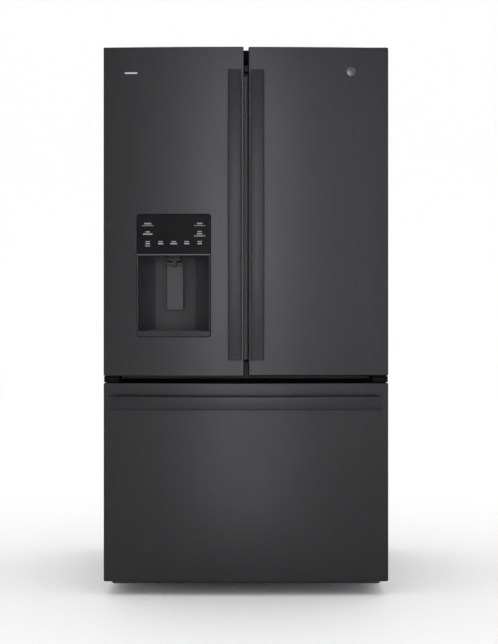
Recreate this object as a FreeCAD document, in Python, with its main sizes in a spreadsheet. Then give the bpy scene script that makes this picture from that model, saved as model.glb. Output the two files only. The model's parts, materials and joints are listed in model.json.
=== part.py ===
import FreeCAD, Part
import math
import os
from types import SimpleNamespace

import Sketcher

# A french door refrigerator with a bottom freezer drawer, in millimetres.
# The front faces -Y, +X is to the right and +Z is up. The origin is on the floor, under the
# middle of the whole object. Every length comes from the sheet "Dims".

DIMENSIONS = (
    # case
    ("overall_width", 908, "over the case, and over the closed doors"),
    ("case_top", 1748, "top of the case"),
    ("case_bottom", 45, "underside of the base frame"),
    ("case_front", -286, "front face of the case, where the seals land"),
    ("case_rear", 452, "rear face of the case"),
    ("sheet_steel", 1, "outer sheet"),
    ("liner_wall", 2, "vacuum formed liners"),
    ("cavity_half_width", 404, "inside of both compartments, from the middle"),
    ("cavity_rear", 380, "rear wall inside both compartments"),
    ("fresh_floor", 737, "floor of the fresh food compartment"),
    ("fresh_ceiling", 1700, "its ceiling"),
    ("freezer_floor", 100, "floor of the freezer"),
    ("freezer_ceiling", 655, "its ceiling"),
    ("step_front", 180, "freezer's rear wall below the step over the machine room"),
    ("step_top", 300, "top of that step"),
    ("machine_front", 215, "front wall of the machine room"),
    ("machine_top", 262, "ceiling of the machine room"),
    ("frame_top", 62, "top of the base frame"),
    ("frame_side", 40, "width of the base frame's side channels"),
    ("frame_cross", 20, "width of its cross members"),
    ("pan_thickness", 3, "floor plate under the compressor"),
    ("grille_bottom", 22, "lower edge of the base grille"),
    ("grille_depth", 7, "depth of the base grille"),
    ("grille_slot_height", 5, "air slots of the grille and the rear cover"),
    ("grille_slot_pitch", 10, "from slot to slot"),
    ("grille_slot_width", 600, "length of one slot"),
    ("cover_slot_width", 180, "half of a slot of the rear cover"),
    ("cover_slot_lowest", 142, "its lowest slot"),
    # feet
    ("leg_across", 430, "leveling legs, from the middle"),
    ("leg_depth", -170, "their distance along Y"),
    ("leg_pad_radius", 20, "foot pad"),
    ("leg_pad_height", 10, "foot pad"),
    ("leg_stud_radius", 5, "threaded stud"),
    ("running_clearance", 0.05, "radial clearance of shafts"),
    ("roller_radius", 21, "rear rollers"),
    ("roller_width", 25, "rear rollers"),
    ("roller_inner", 419, "inner face of a roller, from the middle"),
    ("roller_depth", 400, "axle of the rollers along Y"),
    ("axle_radius", 4, "axle of the rollers"),
    ("bracket_plate", 3, "plates that hold the axle"),
    # machine room
    ("compressor_across", 220, "compressor from the middle"),
    ("compressor_depth", 325, "compressor along Y"),
    ("compressor_radius", 72, "its pot"),
    ("compressor_height", 130, "its pot's straight part"),
    ("compressor_dome", 26, "height of its domed top"),
    ("compressor_plate", 100, "half of its foot plate"),
    ("grommet_radius", 11, "rubber grommets under the plate"),
    ("grommet_height", 8, "rubber grommets"),
    ("tube_radius", 4, "coil tubes"),
    ("condenser_left", -380, "bend end of the condenser"),
    ("condenser_right", -160, "other end"),
    ("condenser_pitch", 34, "from tube to tube"),
    ("condenser_lowest", 80, "lowest tube"),
    ("fan_radius", 68, "condenser fan"),
    ("fan_across", -60, "middle of the fan's blades along X"),
    ("fan_height", 155, "fan's axis"),
    ("fan_blade", 20, "depth of the blades"),
    ("fan_hub_radius", 18, "hub"),
    ("blade_thickness", 3, "fan blades"),
    ("shroud_half", 92, "half of the square shroud"),
    ("shroud_clearance", 6, "round the blade tips"),
    ("motor_length", 38, "fan motor"),
    ("valve_across", 360, "water inlet from the middle"),
    ("inlet_height", 130, "inlets above the floor"),
    ("inlet_radius", 11, "water inlet's threaded spigot"),
    ("inlet_length", 22, "water inlet's spigot"),
    ("gland_across", 300, "cord gland, on the other side"),
    ("gland_radius", 9, "cord gland"),
    # cold side
    ("evaporator_half", 330, "half of the evaporator"),
    ("evaporator_depth", 350, "its tubes along Y"),
    ("evaporator_lowest", 345, "lowest tube"),
    ("evaporator_pitch", 30, "from tube to tube"),
    ("cold_cover_front", 318, "front of the evaporator cover"),
    ("cold_cover_bottom", 306, "its lower edge"),
    ("cold_cover_wall", 3, "its wall"),
    ("cold_fan_radius", 44, "evaporator fan"),
    ("cold_fan_height", 598, "its axis"),
    ("cold_fan_depth", 338, "middle of its blades along Y"),
    ("duct_half", 118, "half of the air duct cover"),
    ("duct_front", 366, "its front face"),
    ("duct_bottom", 1000, "its lower edge"),
    ("duct_vent_width", 150, "air vents in the duct cover"),
    ("duct_vent_height", 8, "air vents"),
    ("duct_vent_rise", 112, "from a shelf to the vent above it"),
    # doors and drawer front
    ("front_apex", -390, "foremost line of the closed doors"),
    ("front_bow", 14, "how much the outer edges lie behind that line"),
    ("seal_depth", 12, "between the case and the doors"),
    ("door_bottom", 701, "lower edge of the doors"),
    ("door_top", 1747, "upper edge of the doors"),
    ("door_gap", 15, "between the doors"),
    ("drawer_bottom", 45, "lower edge of the drawer front"),
    ("drawer_top", 678, "its upper edge"),
    ("front_edge_radius", 5, "upright front edges"),
    ("front_rim_radius", 3, "level front edges"),
    ("seal_width", 16, "seal strips"),
    ("seal_outer", 436, "outer edge of the seals, from the middle"),
    ("seal_inner", 8, "edge of the door seals next to the gap"),
    ("seal_rise", 8, "from a door's edge to its seal"),
    ("dyke_outer", 396, "outer edge of the liner's ridges"),
    ("dyke_width", 28, "ridge of a door liner"),
    ("dyke_depth", 50, "ridge of a door liner"),
    ("dyke_inset", 46, "from a door's edge to the ridge's end"),
    ("dyke_left_free", -78, "left door's ridge next to the gap"),
    ("dyke_right_free", 50, "right door's ridge next to the gap"),
    # hinges
    ("hinge_across", 440, "door hinge axes, from the middle"),
    ("hinge_depth", -330, "door hinge axes along Y"),
    ("pin_radius", 6, "hinge pins"),
    ("pin_length", 26, "of a pin inside its door"),
    ("pin_collar_radius", 9, "collar under the door"),
    ("hinge_plate", 3, "top hinge plate"),
    ("hinge_outer", 450, "outer edge of the hinge plates"),
    ("hinge_inner", 404, "inner edge of the hinge plates"),
    ("hinge_nose", -346, "front edge of the hinge plates"),
    ("hinge_tail", -172, "rear edge of the top hinge plate"),
    ("middle_nose", -371, "front of the middle hinge blocks"),
    ("middle_outer", 453, "their outer face"),
    ("middle_low", 680, "their underside"),
    ("middle_high", 699, "their top"),
    ("hinge_cover_wall", 2, "plastic covers over the top hinges"),
    ("hinge_cover_nose", 1752.5, "top of a cover at its front"),
    ("hinge_cover_crest", 1775, "top of a cover further back"),
    ("hinge_cover_slope", 110, "length of its sloping front"),
    # handles
    ("handle_front", -452, "foremost line of the handles"),
    ("handle_bow", 26, "how much a handle's ends lie behind that"),
    ("handle_thickness", 14, "bar"),
    ("handle_edge_radius", 2.5, "its long edges"),
    ("handle_inner", 14.5, "door handle's edge next to the gap"),
    ("handle_width", 42.5, "door handles"),
    ("handle_bottom", 752, "lower end of the door handles"),
    ("handle_top", 1669, "upper end"),
    ("post_length", 46, "mounting posts along the bar"),
    ("post_width", 30, "mounting posts across the bar"),
    ("post_inset", 8, "from a bar's end to its post"),
    ("pull_half", 431, "half of the drawer handle"),
    ("pull_bottom", 597, "lower edge of the drawer handle"),
    ("pull_height", 41.5, "height of the drawer handle"),
    # dispenser
    ("dispenser_left", -346.6, "left edge of the dispenser"),
    ("dispenser_right", -113.1, "right edge"),
    ("dispenser_bottom", 825.4, "lower edge"),
    ("dispenser_top", 1214.5, "upper edge"),
    ("panel_bottom", 1088.7, "lower edge of the control panel"),
    ("panel_thickness", 14, "control panel"),
    ("panel_corner", 8.5, "corner radius of the dispenser"),
    ("well_ceiling", 1084, "top of the well"),
    ("well_floor", 843.5, "floor of the well"),
    ("well_rear", -290, "rear wall of the well"),
    ("well_rear_half", 62, "half of the flat part of the rear wall"),
    ("well_rim", 3, "rim beside the opening"),
    ("well_wall", 3, "rear wall of the well"),
    ("well_side_radius", 115, "curved sides of the well"),
    ("paddle_half", 25.5, "half of the paddle's width"),
    ("paddle_bottom", 911.7, "lower edge of the paddle"),
    ("paddle_top", 1058, "upper edge"),
    ("paddle_front", -308, "front face"),
    ("paddle_thickness", 4, "paddle"),
    ("paddle_shaft_radius", 3, "its shaft"),
    ("spout_half", 27, "half of the spout housing"),
    ("spout_front", -342, "front of the spout housing"),
    ("spout_bottom", 1064, "underside of the spout housing"),
    ("nozzle_radius", 5, "water nozzle"),
    ("nozzle_bottom", 1048, "lower end of the nozzle"),
    ("nozzle_depth", -331, "nozzle along Y"),
    ("hump_left", -366, "dispenser housing behind the door"),
    ("hump_right", -108, "its right side"),
    ("hump_bottom", 806, "its lower side"),
    ("hump_top", 1236, "its upper side"),
    ("hump_rear", -258, "its rear face"),
    ("ice_box_left", -390, "ice maker box"),
    ("ice_box_right", -84, "its right side"),
    ("ice_box_bottom", 1246, "its underside"),
    ("ice_box_top", 1640, "its top"),
    ("ice_box_rear", -150, "its rear face"),
    ("ice_box_wall", 8, "its walls"),
    # door bins
    ("bin_wall", 3, "bins, crispers and baskets"),
    ("bin_rear", -198, "rear face of the door bins"),
    ("bin_height", 92, "door bins"),
    ("left_bin_lowest", 842, "lowest bin of the left door"),
    ("left_bin_pitch", 196, "from bin to bin on the left door"),
    ("right_bin_lowest", 786, "lowest bin of the right door"),
    ("right_bin_pitch", 290, "from bin to bin on the right door"),
    # folding mullion bar
    ("mullion_left", -66, "its left edge"),
    ("mullion_right", 3.4, "its right edge at the front"),
    ("mullion_bevel", 2.3, "how much narrower it is at the rear"),
    ("mullion_front", -285.7, "its front face"),
    ("mullion_rear", -266, "its rear face"),
    ("mullion_bottom", 749, "its lower end"),
    ("mullion_top", 1673, "its upper end"),
    ("mullion_pivot_across", -58, "its pivot"),
    ("mullion_pivot_depth", -274, "its pivot along Y"),
    ("mullion_pin_radius", 4, "its pins"),
    ("mullion_pin_length", 8, "its pins"),
    ("lug_height", 9, "lugs on the door liner"),
    ("guide_half", 24, "half of the guide block"),
    ("guide_bottom", 1686, "underside of the guide block"),
    ("guide_depth", 32, "guide block"),
    # shelves
    ("shelf_front", -115, "front edge of the shelves"),
    ("shelf_rear", 360, "their rear edge"),
    ("shelf_inner", 6, "edge next to the middle"),
    ("shelf_outer", 398, "edge next to the wall"),
    ("shelf_rim", 8, "plastic rim"),
    ("shelf_height", 14, "rim's height"),
    ("glass_thickness", 4, "tempered glass"),
    ("lower_shelf", 1209, "underside of the lower shelves"),
    ("upper_shelf", 1434, "underside of the upper shelves"),
    ("crisper_shelf", 970, "underside of the shelf over the crispers"),
    ("track_width", 14, "shelf tracks"),
    ("track_inner", 140, "inner tracks, from the middle"),
    ("track_outer", 372, "outer tracks, from the middle"),
    ("track_depth", 8, "shelf tracks"),
    # crispers
    ("crisper_inner", 5, "crisper's side next to the middle"),
    ("crisper_outer", 386, "crisper's outer side"),
    ("crisper_rear", 300, "crisper's rear"),
    ("crisper_floor", 742, "underside of the crispers"),
    ("crisper_rim", 962, "their upper edge"),
    ("crisper_face", 12, "thickness of a crisper's front"),
    ("crisper_lip", 8, "grip along the front's upper edge"),
    # water filter
    ("filter_across", 348, "filter's axis"),
    ("filter_height", 1664, "filter's axis"),
    ("filter_radius", 27, "filter cartridge"),
    ("filter_front", -176, "its front end"),
    ("filter_length", 220, "its length"),
    ("filter_knob_length", 16, "grip on its end"),
    ("filter_grip_half", 21.6, "half of the grip's width"),
    ("filter_grip_thickness", 10.8, "the grip"),
    ("housing_half", 33, "half of the filter housing"),
    ("housing_front", -150, "filter housing"),
    ("housing_rear", 60, "filter housing"),
    # freezer drawer
    ("rail_bottom", 336, "drawer slides"),
    ("rail_height", 34, "drawer slides"),
    ("rail_fixed", 397, "inner face of the fixed rails"),
    ("rail_middle", 389, "inner face of the middle slide members"),
    ("rail_moving", 381, "inner face of the drawer's rails"),
    ("rail_gap", 0.5, "between slide members"),
    ("rail_front", -262, "front end of the fixed slides"),
    ("rail_rear", 150, "rear end of the slides"),
    ("basket_half", 372, "half of the baskets"),
    ("basket_front", -262, "front of the lower basket"),
    ("basket_rear", 120, "rear of the lower basket"),
    ("basket_bottom", 112, "underside of the lower basket"),
    ("basket_top", 330, "rim of the lower basket"),
    ("upper_basket_front", -225, "front of the upper basket"),
    ("upper_basket_rear", 290, "rear of the upper basket"),
    ("upper_basket_bottom", 400, "its underside"),
    ("upper_basket_top", 560, "its rim"),
    ("ledge_inner", 356, "ledges under the upper basket"),
    ("ledge_bottom", 391, "underside of those ledges"),
    ("ledge_top", 399.7, "top of those ledges"),
)

GRILLE_ROWS = 3
COVER_ROWS = 8
CONDENSER_ROWS = 5
EVAPORATOR_ROWS = 7
FAN_BLADES = 5
BLADE_PITCH = 35  # degrees
LEFT_BINS = 2
RIGHT_BINS = 3
PARALLEL = 0.99  # least part of a unit direction along an axis, for an edge that follows it
ACROSS = 0.2  # most of it, for an edge that crosses the axis

doc = FreeCAD.newDocument("FrenchDoorRefrigerator")
sheet = doc.addObject("Spreadsheet::Sheet", "Dims")


class Length:
    """A number together with the sheet expression that makes it."""

    def __init__(self, number, text):
        self.number = number
        self.text = text

    def __neg__(self):
        return Length(-self.number, f"(-{self.text})")

    def __add__(self, other):
        other = as_length(other)
        return Length(self.number + other.number, f"({self.text} + {other.text})")

    def __sub__(self, other):
        other = as_length(other)
        return Length(self.number - other.number, f"({self.text} - {other.text})")

    def __mul__(self, other):
        other = as_length(other)
        return Length(self.number * other.number, f"({self.text} * {other.text})")

    def __truediv__(self, other):
        other = as_length(other)
        return Length(self.number / other.number, f"({self.text} / {other.text})")


def as_length(value):
    return value if isinstance(value, Length) else Length(float(value), f"{value:g}")


def fill_sheet():
    """One row per dimension: what it is, and its value under an alias."""
    lengths = {}
    for row, (alias, value, note) in enumerate(DIMENSIONS, start=1):
        sheet.set(f"A{row}", note)
        sheet.set(f"B{row}", str(value))
        sheet.setAlias(f"B{row}", alias)
        lengths[alias] = Length(float(value), f"Dims.{alias}")
    doc.recompute()
    return SimpleNamespace(**lengths)


D = fill_sheet()

HALF = D.overall_width / 2
DOOR_BACK = D.case_front - D.seal_depth
CORE_BACK = DOOR_BACK - D.liner_wall
FRONT_RADIUS = (HALF * HALF + D.front_bow * D.front_bow) / (D.front_bow * 2)
DOOR_INNER = D.door_gap / 2
LINER_HALF = D.cavity_half_width + D.liner_wall
INSIDE_HALF = HALF - D.sheet_steel
SPILL = as_length(5)  # how far a cutting tool runs past the face that it opens

X_AXIS = FreeCAD.Vector(1, 0, 0)
Y_AXIS = FreeCAD.Vector(0, 1, 0)
Z_AXIS = FreeCAD.Vector(0, 0, 1)
ALONG = {
    "x": FreeCAD.Rotation(Z_AXIS, X_AXIS),
    "y": FreeCAD.Rotation(Z_AXIS, Y_AXIS),
    "z": FreeCAD.Rotation(),
}
finished = []


# ---- helpers -------------------------------------------------------------------------------


def bind(thing, path, length):
    thing.setExpression(path, as_length(length).text)


def sub_part(thing, node):
    """Mark one object of the document as a finished piece, and give it its name."""
    thing.Label = node
    finished.append(thing)
    return thing


def place(thing, x, y, z):
    for axis, length in zip("xyz", (x, y, z)):
        bind(thing, f"Placement.Base.{axis}", length)


def block(name, x, y, z):
    """A box between its low and high planes along each axis."""
    box = doc.addObject("Part::Box", name)
    for side, (low, high) in zip(("Length", "Width", "Height"), (x, y, z)):
        bind(box, side, as_length(high) - low)
    place(box, x[0], y[0], z[0])
    return box


def rod(name, radius, start, length, along="z"):
    """A cylinder from the point start, along one axis."""
    cylinder = doc.addObject("Part::Cylinder", name)
    bind(cylinder, "Radius", radius)
    bind(cylinder, "Height", length)
    cylinder.Placement.Rotation = ALONG[along]
    place(cylinder, *start)
    return cylinder


def fuse(name, *pieces):
    union = doc.addObject("Part::MultiFuse", name)
    union.Shapes = list(pieces)
    return union


def cut(name, base, *tools):
    difference = doc.addObject("Part::Cut", name)
    difference.Base = base
    difference.Tool = tools[0] if len(tools) == 1 else fuse(f"{name}_tools", *tools)
    return difference


def group(name, *pieces):
    """Separate solids that share one node."""
    compound = doc.addObject("Part::Compound", name)
    compound.Links = list(pieces)
    return compound


def mirrored(name, piece):
    """The same piece on the other side of the middle plane."""
    copy = doc.addObject("Part::Mirroring", name)
    copy.Source = piece
    copy.Normal = X_AXIS
    return copy


def pair(name, right):
    return group(name, right, mirrored(f"{name}_other_side", right))


def tray(name, x, y, z, wall, face=None):
    """An open box with walls of one thickness and a front of another."""
    face = wall if face is None else face
    outer = block(f"{name}_outer", x, y, z)
    inner = block(
        f"{name}_inner",
        (as_length(x[0]) + wall, as_length(x[1]) - wall),
        (as_length(y[0]) + face, as_length(y[1]) - wall),
        (as_length(z[0]) + wall, as_length(z[1]) + SPILL),
    )
    return cut(name, outer, inner)


def origin_plane(body, role):
    return next(plane for plane in body.Origin.OriginFeatures if plane.Role == role)


def arc_edge(start, end, radius, turn):
    """The short arc from start to end. Sketch arcs run counter-clockwise."""
    chord = end - start
    height = math.sqrt(radius**2 - (chord.Length / 2) ** 2)
    left = Z_AXIS.cross(chord).normalize()
    centre = (start + end) / 2 + left * (height if turn == "left" else -height)
    first, last = (start, end) if turn == "left" else (end, start)
    angles = [math.atan2(p.y - centre.y, p.x - centre.x) for p in (first, last)]
    if angles[1] < angles[0]:
        angles[1] += 2 * math.pi
    return Part.ArcOfCircle(Part.Circle(centre, Z_AXIS, radius), *angles)


def outline(sketch, corners, arcs=None):
    """A closed outline through corners; arcs gives an edge's radius and turn."""
    arcs = arcs or {}
    points = [FreeCAD.Vector(*(as_length(c).number for c in corner), 0) for corner in corners]
    ends = []
    for i, start in enumerate(points):
        end = points[(i + 1) % len(points)]
        if i in arcs:
            radius, turn = arcs[i]
            edge = arc_edge(start, end, as_length(radius).number, turn)
            ends.append((1, 2) if turn == "left" else (2, 1))
        else:
            edge = Part.LineSegment(start, end)
            ends.append((1, 2))
        sketch.addGeometry(edge, False)
    for i in range(len(points)):
        after = (i + 1) % len(points)
        sketch.addConstraint(Sketcher.Constraint("Coincident", i, ends[i][1], after, ends[after][0]))
    for i, corner in enumerate(corners):
        for kind, length in zip(("DistanceX", "DistanceY"), corner):
            length = as_length(length)
            rule = Sketcher.Constraint(kind, -1, 1, i, ends[i][0], length.number)
            bind(sketch, f"Constraints[{sketch.addConstraint(rule)}]", length)
    for i, (radius, _) in arcs.items():
        rule = Sketcher.Constraint("Radius", i, as_length(radius).number)
        bind(sketch, f"Constraints[{sketch.addConstraint(rule)}]", radius)


def new_sketch(body, name, role, offset=0):
    sketch = body.newObject("Sketcher::SketchObject", name)
    sketch.AttachmentSupport = [(origin_plane(body, role), "")]
    sketch.MapMode = "FlatFace"
    bind(sketch, "AttachmentOffset.Base.z", offset)
    return sketch


def prism(name, role, corners, offset, length, arcs=None):
    """A body with one padded outline on an origin plane, offset along that plane's normal."""
    body = doc.addObject("PartDesign::Body", name)
    sketch = new_sketch(body, f"{name}_outline", role, offset)
    outline(sketch, corners, arcs)
    pad = body.newObject("PartDesign::Pad", f"{name}_pad")
    pad.Profile = sketch
    bind(pad, "Length", length)
    doc.recompute()
    return body


def round_edges(body, radius, wanted):
    """Fillet the edges of the body for which wanted(middle, direction) is true."""
    doc.recompute()
    tip = body.Tip
    names = []
    for number, edge in enumerate(tip.Shape.Edges, start=1):
        middle = edge.valueAt((edge.FirstParameter + edge.LastParameter) / 2)
        direction = edge.tangentAt((edge.FirstParameter + edge.LastParameter) / 2)
        if wanted(middle, direction):
            names.append(f"Edge{number}")
    if not names:
        raise ValueError(f"no edge to round on {body.Name}")
    fillet = body.newObject("PartDesign::Fillet", f"{body.Name}_round_{len(body.Group)}")
    fillet.Base = (tip, names)
    bind(fillet, "Radius", radius)
    doc.recompute()


def bowed_front(name, left, right, back, bottom, top, inset=0):
    """A slab with three flat sides and the convex front that the doors and the drawer share."""
    radius = FRONT_RADIUS - inset
    centre = D.front_apex + FRONT_RADIUS

    def front_at(x):
        depth = math.sqrt(radius.number**2 - x.number**2)
        return Length(centre.number - depth, f"({centre.text} - sqrt({radius.text} ^ 2 - {x.text} ^ 2))")

    left, right = as_length(left), as_length(right)
    corners = [(left, back), (left, front_at(left)), (right, front_at(right)), (right, back)]
    height = as_length(top) - bottom
    return prism(name, "XY_Plane", corners, bottom, height, {1: (radius, "left")})


def upright(direction):
    return abs(direction.z) > PARALLEL


def level(direction):
    return abs(direction.z) < ACROSS


def rounded_front(name, left, right, back, bottom, top, inset=0):
    """The same slab with its front edges rounded."""
    body = bowed_front(name, left, right, back, bottom, top, inset)
    shoulder = (D.case_front.number + D.front_apex.number) / 2
    round_edges(
        body,
        D.front_edge_radius - inset,
        lambda middle, along: upright(along) and middle.y < shoulder,
    )
    round_edges(
        body,
        D.front_rim_radius - inset,
        lambda middle, along: level(along) and middle.y < shoulder and abs(along.y) < ACROSS,
    )
    return body


def frontal(name, x, z, front, rear, radius):
    """A block with rounded corners as seen from the front."""
    corners = [(x[0], z[0]), (x[1], z[0]), (x[1], z[1]), (x[0], z[1])]
    body = prism(name, "XZ_Plane", corners, -as_length(rear), as_length(rear) - front)
    round_edges(body, radius, lambda middle, along: abs(along.y) > PARALLEL)
    return body


# ---- case ----------------------------------------------------------------------------------


def cabinet_wrapper():
    """Folded sheet over the sides and the top, with flanges round the front."""
    outer = block(
        "wrapper_outer",
        (-HALF, HALF),
        (D.case_front, D.case_rear - D.sheet_steel),
        (D.case_bottom, D.case_top),
    )
    inner = block(
        "wrapper_inner",
        (-INSIDE_HALF, INSIDE_HALF),
        (D.case_front + D.sheet_steel, D.case_rear + SPILL),
        (D.case_bottom - SPILL, D.case_top - D.sheet_steel),
    )
    mouth = block(
        "wrapper_mouth",
        (-LINER_HALF, LINER_HALF),
        (D.case_front - SPILL, D.case_front + SPILL),
        (D.case_bottom - SPILL, D.fresh_ceiling + D.liner_wall),
    )
    sub_part(cut("wrapper", outer, inner, mouth), "cabinet_wrapper")


def rear_panel():
    """Sheet over the foam, above the machine room."""
    panel = block(
        "rear_sheet",
        (-HALF, HALF),
        (D.case_rear - D.sheet_steel, D.case_rear),
        (D.machine_top, D.case_top),
    )
    sub_part(panel, "rear_panel")


def cabinet_foam():
    """Insulation in every wall, as slabs that meet face to face."""
    front = D.case_front + D.sheet_steel
    rear = D.case_rear - D.sheet_steel
    roof = D.case_top - D.sheet_steel
    wide = (-LINER_HALF, LINER_HALF)
    behind = (D.cavity_rear + D.liner_wall, rear)
    side = (LINER_HALF, INSIDE_HALF)
    grow = D.liner_wall
    right_upper = block("foam_right_upper", side, (front, rear), (D.machine_top, roof))
    right_lower = block("foam_right_lower", side, (front, D.machine_front), (D.frame_top, D.machine_top))
    slabs = [
        right_upper,
        right_lower,
        mirrored("foam_left_upper", right_upper),
        mirrored("foam_left_lower", right_lower),
        block("foam_top", wide, (front, rear), (D.fresh_ceiling + grow, roof)),
        block("foam_rear", wide, behind, (D.step_top - grow, D.freezer_ceiling + grow)),
        block("foam_rear_high", wide, behind, (D.fresh_floor - grow, D.fresh_ceiling + grow)),
        block("foam_divider", wide, (front, rear), (D.freezer_ceiling + grow, D.fresh_floor - grow)),
        block(
            "foam_floor",
            wide,
            (front, D.step_front + grow),
            (D.frame_top, D.freezer_floor - grow),
        ),
        block(
            "foam_step_wall",
            wide,
            (D.step_front + grow, D.machine_front),
            (D.frame_top, D.machine_top),
        ),
        block(
            "foam_step_top",
            wide,
            (D.step_front + grow, rear),
            (D.machine_top, D.step_top - grow),
        ),
    ]
    sub_part(group("foam", *slabs), "cabinet_foam")


def fresh_food_liner():
    grow = D.liner_wall
    outer = block(
        "fresh_outer",
        (-LINER_HALF, LINER_HALF),
        (D.case_front, D.cavity_rear + grow),
        (D.fresh_floor - grow, D.fresh_ceiling + grow),
    )
    inner = block(
        "fresh_inner",
        (-D.cavity_half_width, D.cavity_half_width),
        (D.case_front - SPILL, D.cavity_rear),
        (D.fresh_floor, D.fresh_ceiling),
    )
    sub_part(cut("fresh_liner", outer, inner), "fresh_food_liner")


def freezer_liner():
    """A shell that steps forward over the machine room."""

    def stepped(name, grow, front):
        half = D.cavity_half_width + grow
        low = block(
            f"{name}_low",
            (-half, half),
            (front, D.step_front + grow),
            (D.freezer_floor - grow, D.freezer_ceiling + grow),
        )
        high = block(
            f"{name}_high",
            (-half, half),
            (front, D.cavity_rear + grow),
            (D.step_top - grow, D.freezer_ceiling + grow),
        )
        return fuse(name, low, high)

    outer = stepped("freezer_outer", D.liner_wall, D.case_front)
    inner = stepped("freezer_inner", as_length(0), D.case_front - SPILL)
    sub_part(cut("freezer_shell", outer, inner), "freezer_liner")


def front_rails():
    """Steel strips across the front, between the compartments and below the freezer."""
    depth = (D.case_front, D.case_front + D.sheet_steel)
    wide = (-LINER_HALF, LINER_HALF)
    divider = block(
        "divider_rail",
        wide,
        depth,
        (D.freezer_ceiling + D.liner_wall, D.fresh_floor - D.liner_wall),
    )
    lower = block("lower_rail", wide, depth, (D.frame_top, D.freezer_floor - D.liner_wall))
    sub_part(group("rails", divider, lower), "front_rails")


def base_frame():
    """Side channels, cross members, the machine room's floor plate and the roller brackets."""
    front = D.case_front + D.sheet_steel * 2
    rear = D.case_rear - D.bracket_plate
    inner = INSIDE_HALF - D.frame_side
    height = (D.case_bottom, D.frame_top)
    side = block("frame_side_right", (inner, INSIDE_HALF), (front, rear), height)
    drop = (D.roller_radius - D.axle_radius * 2, D.case_bottom)
    reach = (D.roller_depth - D.axle_radius * 3, D.roller_depth + D.axle_radius * 3)
    play = D.roller_width / 10
    near = block(
        "bracket_near",
        (D.roller_inner - play - D.bracket_plate, D.roller_inner - play),
        reach,
        drop,
    )
    far_face = D.roller_inner + D.roller_width + play
    far = block("bracket_far", (far_face, far_face + D.bracket_plate), reach, drop)
    pieces = [side, near, far]
    pieces += [mirrored(f"{piece.Name}_left", piece) for piece in pieces]
    pieces += [
        block("frame_front", (-inner, inner), (front, front + D.frame_cross), height),
        block("frame_rear", (-inner, inner), (rear - D.frame_cross, rear), height),
        block(
            "frame_pan",
            (-inner, inner),
            (D.machine_front - D.frame_cross, rear - D.frame_cross),
            (D.case_bottom, D.case_bottom + D.pan_thickness),
        ),
    ]
    bore = D.leg_stud_radius + D.running_clearance
    leg = rod(
        "leg_bore",
        bore,
        (D.leg_across, D.leg_depth, D.case_bottom - SPILL),
        D.frame_top - D.case_bottom + SPILL * 2,
    )
    axle = rod(
        "axle_bore",
        D.axle_radius + D.running_clearance,
        (-HALF, D.roller_depth, D.roller_radius),
        D.overall_width,
        "x",
    )
    tools = (leg, mirrored("leg_bore_left", leg), axle)
    sub_part(cut("frame", fuse("frame_steel", *pieces), *tools), "base_frame")


def slotted_plate(name, x, front, depth, z, slot_half, slot_low, rows):
    """A plate with a column of level air slots."""
    corners = [(x[0], z[0]), (x[1], z[0]), (x[1], z[1]), (x[0], z[1])]
    body = prism(name, "XZ_Plane", corners, -(as_length(front) + depth), depth)
    slot = new_sketch(body, f"{name}_slot", "XZ_Plane", -as_length(front))
    low, high = slot_low, slot_low + D.grille_slot_height
    outline(slot, [(-slot_half, low), (slot_half, low), (slot_half, high), (-slot_half, high)])
    pocket = body.newObject("PartDesign::Pocket", f"{name}_slot_cut")
    pocket.Profile = slot
    pocket.Type = "ThroughAll"
    pocket.Midplane = True
    pattern = body.newObject("PartDesign::LinearPattern", f"{name}_slots")
    pattern.Originals = [pocket]
    pattern.Direction = (slot, ["V_Axis"])
    pattern.Occurrences = rows
    bind(pattern, "Length", D.grille_slot_pitch * (rows - 1))
    body.Tip = pattern
    doc.recompute()
    return body


def base_grille():
    wide = (-(INSIDE_HALF - D.frame_cross), INSIDE_HALF - D.frame_cross)
    front = D.case_front - D.grille_depth
    grille = slotted_plate(
        "grille",
        wide,
        front,
        D.grille_depth,
        (D.grille_bottom, D.frame_top),
        D.grille_slot_width / 2,
        D.grille_bottom + D.grille_slot_height,
        GRILLE_ROWS,
    )
    sub_part(grille, "base_grille")


def compressor_cover():
    """Cover over the machine room, with louvres behind the compressor."""
    cover = slotted_plate(
        "machine_cover",
        (-INSIDE_HALF, INSIDE_HALF),
        D.case_rear - D.liner_wall,
        D.liner_wall,
        (D.frame_top, D.machine_top),
        D.cover_slot_width,
        D.cover_slot_lowest,
        COVER_ROWS,
    )
    gland = rod(
        "gland_hole",
        D.gland_radius + D.running_clearance,
        (-D.gland_across, D.case_rear - SPILL, D.inlet_height),
        SPILL * 2,
        "y",
    )
    water = rod(
        "water_hole",
        D.inlet_radius * 2,
        (D.valve_across, D.case_rear - SPILL, D.inlet_height),
        SPILL * 2,
        "y",
    )
    sub_part(cut("machine_cover_cut", cover, gland, water), "compressor_cover")


def rear_inlets():
    """Threaded water inlet on its valve, and the gland where the supply cord would enter."""
    valve_x = D.valve_across
    inside = D.case_rear - D.inlet_length
    spigot = rod("water_spigot", D.inlet_radius, (valve_x, inside, D.inlet_height), D.inlet_length, "y")
    half = D.inlet_radius * 2
    valve = block(
        "water_valve",
        (valve_x - half, valve_x + half),
        (inside - D.inlet_length, inside),
        (D.inlet_height - half, D.inlet_height + half),
    )
    gland_x = -D.gland_across
    gland = rod("cord_gland", D.gland_radius, (gland_x, inside, D.inlet_height), D.inlet_length, "y")
    hole = rod(
        "cord_gland_bore",
        D.gland_radius / 2,
        (gland_x, inside + SPILL, D.inlet_height),
        D.inlet_length,
        "y",
    )
    bore = rod(
        "water_bore",
        D.inlet_radius / 2,
        (valve_x, inside + SPILL, D.inlet_height),
        D.inlet_length,
        "y",
    )
    water = cut("water_inlet", fuse("water_inlet_solid", spigot, valve), bore)
    sub_part(group("inlets", water, cut("gland_ring", gland, hole)), "rear_inlets")


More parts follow.
